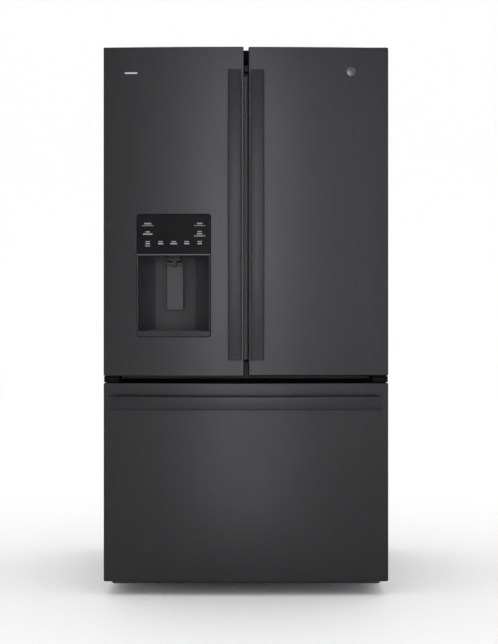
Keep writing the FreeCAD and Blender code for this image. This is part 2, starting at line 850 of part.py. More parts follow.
def compressor():
    """A domed pot on a foot plate with four grommets."""
    x, y = D.compressor_across, D.compressor_depth
    floor = D.case_bottom + D.pan_thickness
    plate_low = floor + D.grommet_height
    plate_high = plate_low + D.pan_thickness
    pot = rod("pot_side", D.compressor_radius, (x, y, plate_high), D.compressor_height)
    dome = doc.addObject("Part::Cone", "pot_dome")
    bind(dome, "Radius1", D.compressor_radius)
    bind(dome, "Radius2", D.compressor_radius / 2)
    bind(dome, "Height", D.compressor_dome)
    place(dome, x, y, plate_high + D.compressor_height)
    half = D.compressor_plate
    plate = block("foot_plate", (x - half, x + half), (y - half, y + half), (plate_low, plate_high))
    grommets = [
        rod(
            f"grommet_{side}_{end}",
            D.grommet_radius,
            (x + (half - D.frame_cross) * side, y + (half - D.frame_cross) * end, floor),
            D.grommet_height,
        )
        for side in (-1, 1)
        for end in (-1, 1)
    ]
    shell = fuse("compressor_shell", pot, dome, plate)
    sub_part(group("compressor_group", shell, *grommets), "compressor")


def serpentine(name, left, right, depth, lowest, pitch, rows):
    """A tube that runs to and fro, with half-round bends at its ends."""
    bend = pitch / 2
    pieces = []
    for row in range(rows):
        height = lowest + pitch * row
        pieces.append(rod(f"{name}_run_{row}", D.tube_radius, (left, depth, height), right - left, "x"))
    for row in range(rows - 1):
        torus = doc.addObject("Part::Torus", f"{name}_bend_{row}")
        bind(torus, "Radius1", bend)
        bind(torus, "Radius2", D.tube_radius)
        torus.Angle3 = 180
        end, side = (right, 90) if row % 2 == 0 else (left, -90)
        upright_turn = FreeCAD.Rotation(X_AXIS, 90)
        torus.Placement.Rotation = FreeCAD.Rotation(Y_AXIS, side) * upright_turn
        place(torus, end, depth, lowest + pitch * row + bend)
        pieces.append(torus)
    return fuse(name, *pieces)


def condenser_coil():
    coil = serpentine(
        "condenser",
        D.condenser_left,
        D.condenser_right,
        D.compressor_depth,
        D.condenser_lowest,
        D.condenser_pitch,
        CONDENSER_ROWS,
    )
    sub_part(coil, "condenser_coil")


def evaporator_coil():
    coil = serpentine(
        "evaporator",
        -D.evaporator_half,
        D.evaporator_half,
        D.evaporator_depth,
        D.evaporator_lowest,
        D.evaporator_pitch,
        EVAPORATOR_ROWS,
    )
    sub_part(coil, "evaporator_coil")


def propeller(name, centre, radius, hub_radius, along):
    """A hub with pitched blades; the hub's axis runs along X or Y."""
    x, y, z = centre
    start = {"x": (x - D.fan_blade / 2, y, z), "y": (x, y - D.fan_blade / 2, z)}[along]
    axis = {"x": X_AXIS, "y": Y_AXIS}[along]
    hub = rod(f"{name}_hub", hub_radius, start, D.fan_blade, along)
    pitch = FreeCAD.Rotation(Z_AXIS, BLADE_PITCH)
    wide, thin = D.fan_blade, D.blade_thickness
    length, width = (thin, wide) if along == "y" else (wide, thin)
    pieces = [hub]
    for number in range(FAN_BLADES):
        blade = doc.addObject("Part::Box", f"{name}_blade_{number}")
        bind(blade, "Length", length)
        bind(blade, "Width", width)
        bind(blade, "Height", radius - hub_radius / 2)
        turn = FreeCAD.Rotation(axis, 360 * number / FAN_BLADES) * pitch
        blade.Placement.Rotation = turn
        corner = FreeCAD.Vector(-length.number / 2, -width.number / 2, hub_radius.number / 2)
        inward = turn.multVec(corner)
        place(blade, x + inward.x, y + inward.y, z + inward.z)
        pieces.append(blade)
    disc = rod(f"{name}_sweep", radius, start, D.fan_blade, along)
    swept = doc.addObject("Part::Common", f"{name}_trimmed")
    swept.Base = fuse(f"{name}_blades", *pieces)
    swept.Tool = disc
    return swept


def condenser_fan():
    centre = (D.fan_across, D.compressor_depth, D.fan_height)
    sub_part(propeller("fan", centre, D.fan_radius, D.fan_hub_radius, "x"), "condenser_fan")


def fan_bracket():
    """Square shroud round the condenser fan, with the motor on two struts."""
    x, y, z = D.fan_across, D.compressor_depth, D.fan_height
    half = D.shroud_half
    motor_end = x - D.fan_blade
    motor_start = motor_end - D.motor_length
    plate = block(
        "shroud_plate",
        (motor_start, x + D.fan_blade / 2),
        (y - half, y + half),
        (z - half, z + half),
    )
    opening = rod(
        "shroud_hole",
        D.fan_radius + D.shroud_clearance,
        (motor_start - SPILL, y, z),
        D.motor_length + D.fan_blade * 2 + SPILL * 2,
        "x",
    )
    motor = rod("fan_motor", D.fan_hub_radius, (motor_start, y, z), D.motor_length, "x")
    strut = D.blade_thickness
    depth = (motor_start, motor_start + D.fan_blade / 2)
    level_strut = block("strut_level", depth, (y - half, y + half), (z - strut, z + strut))
    upright_strut = block("strut_upright", depth, (y - strut, y + strut), (z - half, z + half))
    shroud = cut("shroud", plate, opening)
    sub_part(fuse("fan_mount", shroud, motor, level_strut, upright_strut), "fan_bracket")


def evaporator_cover():
    """Freezer's inner rear panel with the fan's opening and slots below it, and the fan's motor."""
    front, wall = D.cold_cover_front, D.cold_cover_wall
    plate = block(
        "cold_plate",
        (-(D.cavity_half_width - wall), D.cavity_half_width - wall),
        (front, front + wall),
        (D.cold_cover_bottom, D.freezer_ceiling - wall),
    )
    opening = rod(
        "cold_opening",
        D.cold_fan_radius + wall,
        (0, front - SPILL, D.cold_fan_height),
        SPILL * 3,
        "y",
    )
    slots = [
        block(
            f"cold_slot_{number}",
            (-D.evaporator_half, D.evaporator_half),
            (front - SPILL, front + SPILL * 2),
            (
                D.cold_cover_bottom + D.frame_cross * number,
                D.cold_cover_bottom + D.frame_cross * number + D.grille_slot_height,
            ),
        )
        for number in (1, 2, 3)
    ]
    motor_front = D.cold_fan_depth + D.fan_blade / 2 + wall
    motor = rod(
        "cold_motor",
        D.fan_hub_radius,
        (0, motor_front, D.cold_fan_height),
        D.fan_blade,
        "y",
    )
    sub_part(group("cold_wall", cut("cold_panel", plate, opening, *slots), motor), "evaporator_cover")


def evaporator_fan():
    centre = (as_length(0), D.cold_fan_depth, D.cold_fan_height)
    sub_part(propeller("cold_fan", centre, D.cold_fan_radius, D.fan_hub_radius, "y"), "evaporator_fan")


def air_duct_cover():
    """Raised duct on the fresh food compartment's rear wall, with vents over each shelf."""
    plate = block(
        "duct_plate",
        (-D.duct_half, D.duct_half),
        (D.duct_front, D.cavity_rear),
        (D.duct_bottom, D.fresh_ceiling - D.liner_wall),
    )
    vents = [
        block(
            f"vent_{number}",
            (-D.duct_vent_width / 2, D.duct_vent_width / 2),
            (D.duct_front - SPILL, D.duct_front + D.duct_vent_height),
            (base + D.duct_vent_rise, base + D.duct_vent_rise + D.duct_vent_height),
        )
        for number, base in enumerate((D.crisper_shelf, D.lower_shelf, D.upper_shelf))
    ]
    sub_part(cut("duct", plate, *vents), "air_duct_cover")


# ---- feet ----------------------------------------------------------------------------------


def leveling_legs():
    """Threaded studs with round pads, turned to level the case."""
    for side, node in ((-1, "leveling_leg_left"), (1, "leveling_leg_right")):
        x = D.leg_across * side
        pad = rod(f"{node}_pad", D.leg_pad_radius, (x, D.leg_depth, 0), D.leg_pad_height)
        stud = rod(
            f"{node}_stud",
            D.leg_stud_radius,
            (x, D.leg_depth, 0),
            D.frame_top - D.sheet_steel,
        )
        sub_part(fuse(f"{node}_solid", pad, stud), node)


def rear_rollers():
    """Two rollers fixed on one axle."""
    roller = rod(
        "roller_right",
        D.roller_radius,
        (D.roller_inner, D.roller_depth, D.roller_radius),
        D.roller_width,
        "x",
    )
    reach = D.roller_inner + D.roller_width + D.bracket_plate * 2
    axle = rod("axle", D.axle_radius, (-reach, D.roller_depth, D.roller_radius), reach * 2, "x")
    sub_part(fuse("rollers", roller, mirrored("roller_left", roller), axle), "rear_rollers")


# ---- hinges --------------------------------------------------------------------------------


def top_hinges():
    plate = block(
        "top_plate",
        (D.hinge_inner, D.hinge_outer),
        (D.hinge_nose, D.hinge_tail),
        (D.case_top, D.case_top + D.hinge_plate),
    )
    pin = rod(
        "top_pin",
        D.pin_radius,
        (D.hinge_across, D.hinge_depth, D.door_top - D.pin_length),
        D.case_top - D.door_top + D.pin_length,
    )
    sub_part(pair("top_hinge_pair", fuse("top_hinge", plate, pin)), "top_hinges")


def hinge_covers():
    """Wedge-shaped caps over the top hinges."""
    wall = D.hinge_cover_wall
    nose, tail = D.hinge_nose - wall * 2, D.hinge_tail + wall * 2
    bend = nose + D.hinge_cover_slope

    def wedge(name, shrink):
        corners = [
            (nose + shrink, D.case_top),
            (tail - shrink, D.case_top),
            (tail - shrink, D.hinge_cover_crest - shrink),
            (bend, D.hinge_cover_crest - shrink),
            (nose + shrink, D.hinge_cover_nose - shrink / 2),
        ]
        left = D.hinge_inner - wall * 2 + shrink
        return prism(name, "YZ_Plane", corners, left, INSIDE_HALF - shrink - left)

    cover = cut("hinge_cover", wedge("cover_outer", as_length(0)), wedge("cover_inner", wall))
    sub_part(pair("hinge_cover_pair", cover), "hinge_covers")


def middle_hinges():
    """Blocks between the doors and the drawer front, each with its pin and collar."""
    shelf = block(
        "middle_block",
        (D.hinge_inner, D.middle_outer),
        (D.middle_nose, D.case_front),
        (D.middle_low, D.middle_high),
    )
    foot = (D.hinge_across, D.hinge_depth, D.middle_high)
    pin = rod("middle_pin", D.pin_radius, foot, D.door_bottom + D.pin_length - D.middle_high)
    collar = rod(
        "middle_collar",
        D.pin_collar_radius,
        foot,
        D.door_bottom - D.middle_high - D.rail_gap,
    )
    sub_part(pair("middle_hinge_pair", fuse("middle_hinge", shelf, pin, collar)), "middle_hinges")


def mullion_guide():
    """Block under the ceiling that steers the folding bar."""
    guide = block(
        "guide_block",
        (-D.guide_half, D.guide_half),
        (D.case_front + D.liner_wall, D.case_front + D.guide_depth),
        (D.guide_bottom, D.fresh_ceiling),
    )
    sub_part(guide, "mullion_guide")


# ---- fresh food compartment ----------------------------------------------------------------

SHELF_LEVELS = (D.lower_shelf, D.upper_shelf)


def shelf_spans():
    """Name, low and high X, and underside of each shelf."""
    for number, base in enumerate(SHELF_LEVELS):
        yield f"shelf_right_{number}", (D.shelf_inner, D.shelf_outer), base
        yield f"shelf_left_{number}", (-D.shelf_outer, -D.shelf_inner), base
    yield "shelf_crisper", (-D.shelf_outer, D.shelf_outer), D.crisper_shelf


def glass_shelves():
    rim = D.shelf_rim
    panes = [
        block(
            f"{name}_glass",
            (x[0] + rim, x[1] - rim),
            (D.shelf_front + rim, D.shelf_rear - rim),
            (base + rim, base + rim + D.glass_thickness),
        )
        for name, x, base in shelf_spans()
    ]
    sub_part(group("panes", *panes), "glass_shelves")


def shelf_frames():
    """Rims that hold each pane on a ledge."""
    rim = D.shelf_rim
    frames = []
    for name, x, base in shelf_spans():
        y = (D.shelf_front, D.shelf_rear)
        ring = block(f"{name}_rim", x, y, (base, base + D.shelf_height))
        seat = block(
            f"{name}_seat",
            (x[0] + rim, x[1] - rim),
            (y[0] + rim, y[1] - rim),
            (base + rim, base + D.shelf_height + SPILL),
        )
        view = block(
            f"{name}_view",
            (x[0] + rim * 2, x[1] - rim * 2),
            (y[0] + rim * 2, y[1] - rim * 2),
            (base - SPILL, base + D.shelf_height),
        )
        frames.append(cut(f"{name}_frame", ring, seat, view))
    sub_part(group("frames", *frames), "shelf_frames")


def shelf_tracks():
    """Uprights on the rear wall."""
    uprights = []
    for name, across in (("inner", D.track_inner), ("outer", D.track_outer)):
        upright_track = block(
            f"track_{name}",
            (across, across + D.track_width),
            (D.cavity_rear - D.track_depth, D.cavity_rear),
            (D.duct_bottom, D.fresh_ceiling - D.shelf_rim * 3),
        )
        uprights += [upright_track, mirrored(f"track_{name}_left", upright_track)]
    sub_part(group("tracks", *uprights), "shelf_tracks")


def crispers():
    """Open drawers with a thick front and a grip along its upper edge."""
    for side, node in ((-1, "crisper_left"), (1, "crisper_right")):
        near, far = D.crisper_inner * side, D.crisper_outer * side
        x = (near, far) if side > 0 else (far, near)
        drawer = tray(
            f"{node}_tray",
            x,
            (D.shelf_front, D.crisper_rear),
            (D.crisper_floor, D.crisper_rim),
            D.bin_wall,
            D.crisper_face,
        )
        inset = D.crisper_face * 4
        lip = block(
            f"{node}_lip",
            (x[0] + inset, x[1] - inset),
            (D.shelf_front - D.crisper_lip, D.shelf_front),
            (D.crisper_rim - D.crisper_face, D.crisper_rim),
        )
        sub_part(fuse(f"{node}_solid", drawer, lip), node)


def filter_housing():
    """Block under the ceiling, bored for the filter."""
    x, z = D.filter_across, D.filter_height
    half = D.housing_half
    shell = block(
        "housing_block",
        (x - half, x + half),
        (D.housing_front, D.housing_rear),
        (z - half, D.fresh_ceiling),
    )
    bore = rod(
        "housing_bore",
        D.filter_radius + D.sheet_steel,
        (x, D.housing_front - SPILL, z),
        D.filter_length,
        "y",
    )
    sub_part(cut("housing", shell, bore), "filter_housing")


def water_filter():
    """Cartridge with a flat grip on its end."""
    x, z = D.filter_across, D.filter_height
    front = D.filter_front + D.filter_knob_length
    cartridge = rod(
        "cartridge",
        D.filter_radius,
        (x, front, z),
        D.filter_length - D.filter_knob_length,
        "y",
    )
    grip = block(
        "filter_grip",
        (x - D.filter_grip_half, x + D.filter_grip_half),
        (D.filter_front, front),
        (z - D.filter_grip_thickness / 2, z + D.filter_grip_thickness / 2),
    )
    sub_part(fuse("filter_solid", cartridge, grip), "water_filter")


# ---- doors ---------------------------------------------------------------------------------


def seal_frame(name, x, z):
    """Four magnetic seal strips round a door's back."""
    width = D.seal_width
    y = (DOOR_BACK, D.case_front)
    inside = (z[0] + width, z[1] - width)
    return group(
        name,
        block(f"{name}_low", x, y, (z[0], z[0] + width)),
        block(f"{name}_high", x, y, (z[1] - width, z[1])),
        block(f"{name}_left", (x[0], x[0] + width), y, inside),
        block(f"{name}_right", (x[1] - width, x[1]), y, inside),
    )


def hinge_bores(name, side, radius):
    """Holes for the upper and lower hinge pins."""
    axis = (D.hinge_across * side, D.hinge_depth)
    depth = D.pin_length + D.sheet_steel
    return [
        rod(f"{name}_low_bore", radius, (*axis, D.door_bottom - SPILL), depth + SPILL),
        rod(f"{name}_high_bore", radius, (*axis, D.door_top - depth), depth + SPILL),
    ]


def door_span(side):
    inner, outer = DOOR_INNER * side, HALF * side
    return (inner, outer) if side > 0 else (outer, inner)


def shell_of(name, x, z):
    """Folded sheet: front, sides, top and bottom, open at the back."""
    outer = rounded_front(f"{name}_outer", x[0], x[1], CORE_BACK, z[0], z[1])
    inner = core_of(f"{name}_inner", x, z, CORE_BACK + SPILL)
    return outer, inner


def core_of(name, x, z, back):
    """What fills that sheet."""
    sheet_wall = D.sheet_steel
    return rounded_front(
        name,
        x[0] + sheet_wall,
        x[1] - sheet_wall,
        back,
        z[0] + sheet_wall,
        z[1] - sheet_wall,
        sheet_wall,
    )


def dispenser_hole(name, front, rear, bottom):
    return frontal(
        name,
        (D.dispenser_left, D.dispenser_right),
        (bottom, D.dispenser_top),
        front,
        rear,
        D.panel_corner,
    )


def door_skins():
    z = (D.door_bottom, D.door_top)
    for side, word in ((-1, "left"), (1, "right")):
        outer, inner = shell_of(f"{word}_skin", door_span(side), z)
        tools = [inner, *hinge_bores(f"{word}_skin", side, D.pin_collar_radius)]
        if word == "left":
            front = D.front_apex - SPILL
            tools.append(dispenser_hole("skin_hole", front, D.hinge_depth, D.dispenser_bottom))
        sub_part(cut(f"{word}_skin", outer, *tools), f"{word}_door_skin")


def door_cores():
    z = (D.door_bottom, D.door_top)
    pin_bore = D.pin_radius + D.running_clearance
    for side, word in ((-1, "left"), (1, "right")):
        slab = core_of(f"{word}_core_slab", door_span(side), z, CORE_BACK)
        tools = hinge_bores(f"{word}_core", side, pin_bore)
        if word == "left":
            wall = D.liner_wall
            hump = block(
                "core_hump",
                (D.hump_left + wall, D.hump_right - wall),
                (CORE_BACK, D.hump_rear - wall),
                (D.hump_bottom + wall, D.hump_top - wall),
            )
            slab = fuse("left_core_solid", slab, hump)
            front = D.front_apex - SPILL
            across = (D.dispenser_left, D.dispenser_right)
            tools += [
                dispenser_hole(
                    "core_panel_hole",
                    front,
                    D.front_apex + D.front_bow + D.panel_thickness,
                    D.dispenser_bottom,
                ),
                block(
                    "core_well_hole",
                    across,
                    (front, D.well_rear + D.well_wall),
                    (D.dispenser_bottom + D.panel_corner, D.panel_bottom),
                ),
            ]
        sub_part(cut(f"{word}_core", slab, *tools), f"{word}_door_core")


def liner_ridges(name, edges, z):
    """Upright ridges that stiffen a liner and carry the bins."""
    return [
        block(
            f"{name}_ridge_{number}",
            (edge, edge + D.dyke_width),
            (DOOR_BACK, DOOR_BACK + D.dyke_depth),
            z,
        )
        for number, edge in enumerate(edges)
    ]


def mullion_lugs():
    """Lugs above and below the folding bar, bored for its pins."""
    x, y = D.mullion_pivot_across, D.mullion_pivot_depth
    half = D.mullion_pin_radius * 2
    gap = D.rail_gap
    spans = {
        "low": (D.mullion_bottom - gap - D.lug_height, D.mullion_bottom - gap),
        "high": (D.mullion_top + gap, D.mullion_top + gap + D.lug_height),
    }
    lugs = [
        block(f"lug_{name}", (x - half, x + half), (DOOR_BACK, y + half), span)
        for name, span in spans.items()
    ]
    bores = [
        rod(
            f"lug_bore_{name}",
            D.mullion_pin_radius + D.running_clearance,
            (x, y, span[0] - SPILL),
            D.lug_height + SPILL * 2,
        )
        for name, span in spans.items()
    ]
    return lugs, bores


def door_liners():
    z = (D.door_bottom + D.sheet_steel, D.door_top - D.sheet_steel)
    ridge_z = (D.door_bottom + D.dyke_inset, D.door_top - D.dyke_inset - D.sheet_steel * 4)
    wall = D.liner_wall
    edges = {
        -1: (-D.dyke_outer, D.dyke_left_free - D.dyke_width),
        1: (D.dyke_right_free, D.dyke_outer - D.dyke_width),
    }
    for side, word in ((-1, "left"), (1, "right")):
        x = door_span(side)
        across = (x[0] + D.sheet_steel, x[1] - D.sheet_steel)
        plate = block(f"{word}_plate", across, (CORE_BACK, DOOR_BACK), z)
        pieces = [plate, *liner_ridges(word, edges[side], ridge_z)]
        if word == "right":
            sub_part(fuse("right_liner", *pieces), "right_door_liner")
            continue
        lugs, bores = mullion_lugs()
        hump = block(
            "liner_hump",
            (D.hump_left, D.hump_right),
            (CORE_BACK, D.hump_rear),
            (D.hump_bottom, D.hump_top),
        )
        hollow = block(
            "liner_hollow",
            (D.hump_left + wall, D.hump_right - wall),
            (CORE_BACK - SPILL, D.hump_rear - wall),
            (D.hump_bottom + wall, D.hump_top - wall),
        )
        solid = fuse("left_liner_solid", *pieces, *lugs, hump)
        sub_part(cut("left_liner", solid, hollow, *bores), "left_door_liner")


def door_seals():
    z = (D.door_bottom + D.seal_rise, D.door_top - D.seal_rise)
    sub_part(seal_frame("left_seal", (-D.seal_outer, -D.seal_inner), z), "left_door_gasket")
    sub_part(seal_frame("right_seal", (D.seal_inner, D.seal_outer), z), "right_door_gasket")


def bin_span(lowest, pitch, number):
    low = lowest + pitch * number
    return (low, low + D.bin_height)


def door_bins():
    """Open bins between the ridges, on the liner or on the dispenser housing."""
    left = [
        tray(
            f"left_bin_{number}",
            (D.hump_left, D.hump_right),
            (D.hump_rear, D.bin_rear),
            bin_span(D.left_bin_lowest, D.left_bin_pitch, number),
            D.bin_wall,
        )
        for number in range(LEFT_BINS)
    ]
    sub_part(group("left_bins", *left), "left_door_bins")
    right = [
        tray(
            f"right_bin_{number}",
            (D.dyke_right_free + D.dyke_width, D.dyke_outer - D.dyke_width),
            (DOOR_BACK, D.bin_rear),
            bin_span(D.right_bin_lowest, D.right_bin_pitch, number),
            D.bin_wall,
        )
        for number in range(RIGHT_BINS)
    ]
    sub_part(group("right_bins", *right), "right_door_bins")


def front_cylinder(name):
    """The cylinder whose side is the shared convex front."""
    return rod(name, FRONT_RADIUS, (0, D.front_apex + FRONT_RADIUS, -SPILL), D.case_top + SPILL)


def bow_radius(half):
    return (half * half + D.handle_bow * D.handle_bow) / (D.handle_bow * 2)


def bowed_bar(name, role, low, high, offset, width):
    """A flat bar bowed away from the door, with rounded long edges."""
    half = (high - low) / 2
    radius = bow_radius(half)
    outer = D.handle_front + D.handle_bow
    inner = outer + D.handle_thickness
    if role == "YZ_Plane":
        corners = [(outer, high), (outer, low), (inner, low), (inner, high)]
    else:
        corners = [(low, outer), (high, outer), (high, inner), (low, inner)]
    arcs = {0: (radius, "left"), 2: (radius - D.handle_thickness, "right")}
    body = prism(name, role, corners, offset, width, arcs)
    round_edges(body, D.handle_edge_radius, lambda middle, along: abs(along.y) < ACROSS)
    return body


def door_handles():
    """Bars on two posts, beside the gap between the doors."""
    for side, word in ((-1, "left"), (1, "right")):
        low = D.handle_inner if side > 0 else -(D.handle_inner + D.handle_width)
        bar = bowed_bar(f"{word}_bar", "YZ_Plane", D.handle_bottom, D.handle_top, low, D.handle_width)
        inset = (D.handle_width - D.post_width) / 2
        post_x = (low + inset, low + inset + D.post_width)
        post_y = (D.handle_front + D.handle_bow + D.handle_thickness / 2, D.front_apex + SPILL)
        ends = (
            (D.handle_bottom + D.post_inset, D.handle_bottom + D.post_inset + D.post_length),
            (D.handle_top - D.post_inset - D.post_length, D.handle_top - D.post_inset),
        )
        posts = [block(f"{word}_post_{n}", post_x, post_y, z) for n, z in enumerate(ends)]
        solid = fuse(f"{word}_handle_solid", bar, *posts)
        door = front_cylinder(f"{word}_handle_door")
        sub_part(cut(f"{word}_handle_cut", solid, door), f"{word}_handle")


def freezer_handle():
    half = D.pull_half
    bar = bowed_bar("pull_bar", "XY_Plane", -half, half, D.pull_bottom, D.pull_height)
    inset = (D.pull_height - D.post_width) / 2
    post = block(
        "pull_post",
        (half - D.post_inset - D.post_length, half - D.post_inset),
        (D.handle_front + D.handle_bow + D.handle_thickness / 2, D.front_apex + D.front_bow + SPILL),
        (D.pull_bottom + inset, D.pull_bottom + inset + D.post_width),
    )
    solid = fuse("pull_solid", bar, post, mirrored("pull_post_left", post))
    sub_part(cut("pull", solid, front_cylinder("pull_drawer")), "freezer_handle")


# ---- dispenser -----------------------------------------------------------------------------


def bowed_to_door(name, piece):
    """Trim a piece to the doors' convex front."""
    trimmed = doc.addObject("Part::Common", name)
    trimmed.Base = piece
    trimmed.Tool = front_cylinder(f"{name}_front")
    return trimmed


def dispenser_well():
    """Recess with a flat rear wall, curved sides and a sill."""
    middle = (D.dispenser_left + D.dispenser_right) / 2
    left, right = D.dispenser_left + D.well_rim, D.dispenser_right - D.well_rim
    front = D.front_apex - SPILL
    rear = D.well_rear
    mouth = D.front_apex + D.front_bow
    shell = block(
        "well_shell",
        (D.dispenser_left, D.dispenser_right),
        (front, rear + D.well_wall),
        (D.dispenser_bottom + D.panel_corner, D.panel_bottom),
    )
    foot = frontal(
        "well_foot",
        (D.dispenser_left, D.dispenser_right),
        (D.dispenser_bottom, D.well_floor + D.panel_corner),
        front,
        mouth + D.panel_thickness,
        D.panel_corner,
    )
    corners = [
        (left, front),
        (right, front),
        (right, mouth),
        (middle + D.well_rear_half, rear),
        (middle - D.well_rear_half, rear),
        (left, mouth),
    ]
    arcs = {2: (D.well_side_radius, "left"), 4: (D.well_side_radius, "left")}
    hollow = prism(
        "well_hollow",
        "XY_Plane",
        corners,
        D.well_floor,
        D.well_ceiling - D.well_floor,
        arcs,
    )
    solid = cut("well_solid", fuse("well_block", shell, foot), hollow)
    sub_part(bowed_to_door("well", solid), "dispenser_well")


def control_panel():
    """Gloss panel above the well."""
    panel = frontal(
        "panel_block",
        (D.dispenser_left, D.dispenser_right),
        (D.panel_bottom - D.panel_corner, D.dispenser_top),
        D.front_apex - SPILL,
        D.front_apex + D.front_bow + D.panel_thickness,
        D.panel_corner,
    )
    lower = block(
        "panel_lower_cut",
        (-HALF, as_length(0)),
        (D.front_apex - SPILL * 2, D.case_front),
        (D.dispenser_bottom, D.panel_bottom),
    )
    sub_part(bowed_to_door("panel", cut("panel_cut", panel, lower)), "control_panel")


def dispenser_spout():
    """Housing under the well's ceiling, with the water nozzle."""
    middle = (D.dispenser_left + D.dispenser_right) / 2
    housing = block(
        "spout_block",
        (middle - D.spout_half, middle + D.spout_half),
        (D.spout_front, D.well_rear),
        (D.spout_bottom, D.well_ceiling),
    )
    nozzle = rod(
        "nozzle",
        D.nozzle_radius,
        (middle, D.nozzle_depth, D.nozzle_bottom),
        D.spout_bottom - D.nozzle_bottom,
    )
    bore = rod(
        "nozzle_bore",
        D.nozzle_radius / 2,
        (middle, D.nozzle_depth, D.nozzle_bottom - SPILL),
        D.spout_bottom - D.nozzle_bottom + SPILL,
    )
    sub_part(cut("spout", fuse("spout_solid", housing, nozzle), bore), "dispenser_spout")


def dispenser_paddle():
    """Lever that a glass pushes back; it swings on a shaft along its upper edge."""
    middle = (D.dispenser_left + D.dispenser_right) / 2
    blade = frontal(
        "paddle_blade",
        (middle - D.paddle_half, middle + D.paddle_half),
        (D.paddle_bottom, D.paddle_top),
        D.paddle_front,
        D.paddle_front + D.paddle_thickness,
        D.panel_corner / 2,
    )
    shaft = rod(
        "paddle_shaft",
        D.paddle_shaft_radius,
        (
            middle - D.paddle_half - D.paddle_shaft_radius,
            D.paddle_front + D.paddle_thickness / 2,
            D.paddle_top - D.paddle_shaft_radius,
        ),
        D.paddle_half * 2 + D.paddle_shaft_radius * 2,
        "x",
    )
    sub_part(fuse("paddle_solid", blade, shaft), "dispenser_paddle")


def ice_box():
    """Insulated box that holds the ice maker."""
    wall = D.ice_box_wall
    x = (D.ice_box_left, D.ice_box_right)
    z = (D.ice_box_bottom, D.ice_box_top)
    ridge = DOOR_BACK + D.dyke_depth
    shell = block("ice_shell", x, (ridge, D.ice_box_rear), z)
    neck = block(
        "ice_neck",
        (-D.dyke_outer + D.dyke_width, D.dyke_left_free - D.dyke_width),
        (DOOR_BACK, ridge),
        z,
    )
    hollow = block(
        "ice_hollow",
        (-D.dyke_outer + D.dyke_width + wall, D.dyke_left_free - D.dyke_width - wall),
        (DOOR_BACK + wall, D.ice_box_rear - wall),
        (z[0] + wall, z[1] - wall),
    )
    sub_part(cut("ice", fuse("ice_solid", shell, neck), hollow), "ice_box")


def mullion_bar():
    """Folding bar that closes the gap behind the doors, with a pin at each end."""
    rear_right = D.mullion_right - D.mullion_bevel
    corners = [
        (D.mullion_left, D.mullion_front),
        (D.mullion_right, D.mullion_front),
        (rear_right, D.mullion_rear),
        (D.mullion_left, D.mullion_rear),
    ]
    height = D.mullion_top - D.mullion_bottom
    bar = prism("mullion_profile", "XY_Plane", corners, D.mullion_bottom, height)
    pins = rod(
        "mullion_pins",
        D.mullion_pin_radius,
        (D.mullion_pivot_across, D.mullion_pivot_depth, D.mullion_bottom - D.mullion_pin_length),
        height + D.mullion_pin_length * 2,
    )
    sub_part(fuse("mullion", bar, pins), "mullion_bar")


# ---- freezer drawer ------------------------------------------------------------------------


def drawer_front():
    x, z = (-HALF, HALF), (D.drawer_bottom, D.drawer_top)
    outer, inner = shell_of("drawer_skin", x, z)
    sub_part(cut("drawer_sheet", outer, inner), "drawer_skin")
    sub_part(core_of("drawer_fill", x, z, CORE_BACK), "drawer_core")


def drawer_liner():
    edge = D.sheet_steel
    plate = block(
        "drawer_plate",
        (-HALF + edge, HALF - edge),
        (CORE_BACK, DOOR_BACK),
        (D.drawer_bottom + edge, D.drawer_top - edge),
    )
    rise = D.dyke_inset + D.seal_rise * 2
    ledge = block(
        "drawer_pad",
        (-(D.dyke_outer - D.seal_rise), D.dyke_outer - D.seal_rise),
        (DOOR_BACK, DOOR_BACK + D.seal_width * 2),
        (D.drawer_bottom + rise, D.drawer_top - D.dyke_inset),
    )
    sub_part(fuse("drawer_liner_solid", plate, ledge), "drawer_liner")


def drawer_seal():
    low = D.frame_top + D.seal_rise
    high = D.drawer_top - D.seal_rise / 2
    sub_part(seal_frame("drawer_seal", (-D.seal_outer, D.seal_outer), (low, high)), "drawer_gasket")


def slide_member(name, inner, outer, front, rear):
    """One member of the telescopic slides, on the right."""
    return block(
        name,
        (inner, outer),
        (front, rear),
        (D.rail_bottom, D.rail_bottom + D.rail_height),
    )


def freezer_slides():
    """Fixed rails with the upper basket's ledges, middle members, and the drawer's rails."""
    fixed = slide_member(
        "rail_fixed_right",
        D.rail_fixed,
        D.cavity_half_width,
        D.rail_front,
        D.rail_rear,
    )
    ledge = block(
        "ledge_right",
        (D.ledge_inner, D.cavity_half_width),
        (D.rail_front, D.upper_basket_rear),
        (D.ledge_bottom, D.ledge_top),
    )
    rails = [fixed, ledge]
    rails += [mirrored(f"{piece.Name}_left", piece) for piece in rails]
    sub_part(group("fixed_rails", *rails), "freezer_rails")
    middle = slide_member(
        "slide_right",
        D.rail_middle,
        D.rail_fixed - D.rail_gap,
        D.rail_front,
        D.rail_rear,
    )
    sub_part(pair("slide_pair", middle), "slide_members")
    moving = slide_member(
        "drawer_rail_right",
        D.rail_moving,
        D.rail_middle - D.rail_gap,
        DOOR_BACK + D.seal_width * 2,
        D.rail_rear,
    )
    sub_part(pair("drawer_rail_pair", moving), "drawer_rails")


def baskets():
    half = D.basket_half
    lower = tray(
        "lower_tray",
        (-half, half),
        (D.basket_front, D.basket_rear),
        (D.basket_bottom, D.basket_top),
        D.bin_wall,
    )
    sub_part(lower, "lower_basket")
    upper = tray(
        "upper_tray",
        (-half, half),
        (D.upper_basket_front, D.upper_basket_rear),
        (D.upper_basket_bottom, D.upper_basket_top),
        D.bin_wall,
    )
    sub_part(upper, "upper_basket")


# ---- build, test and write -----------------------------------------------------------------


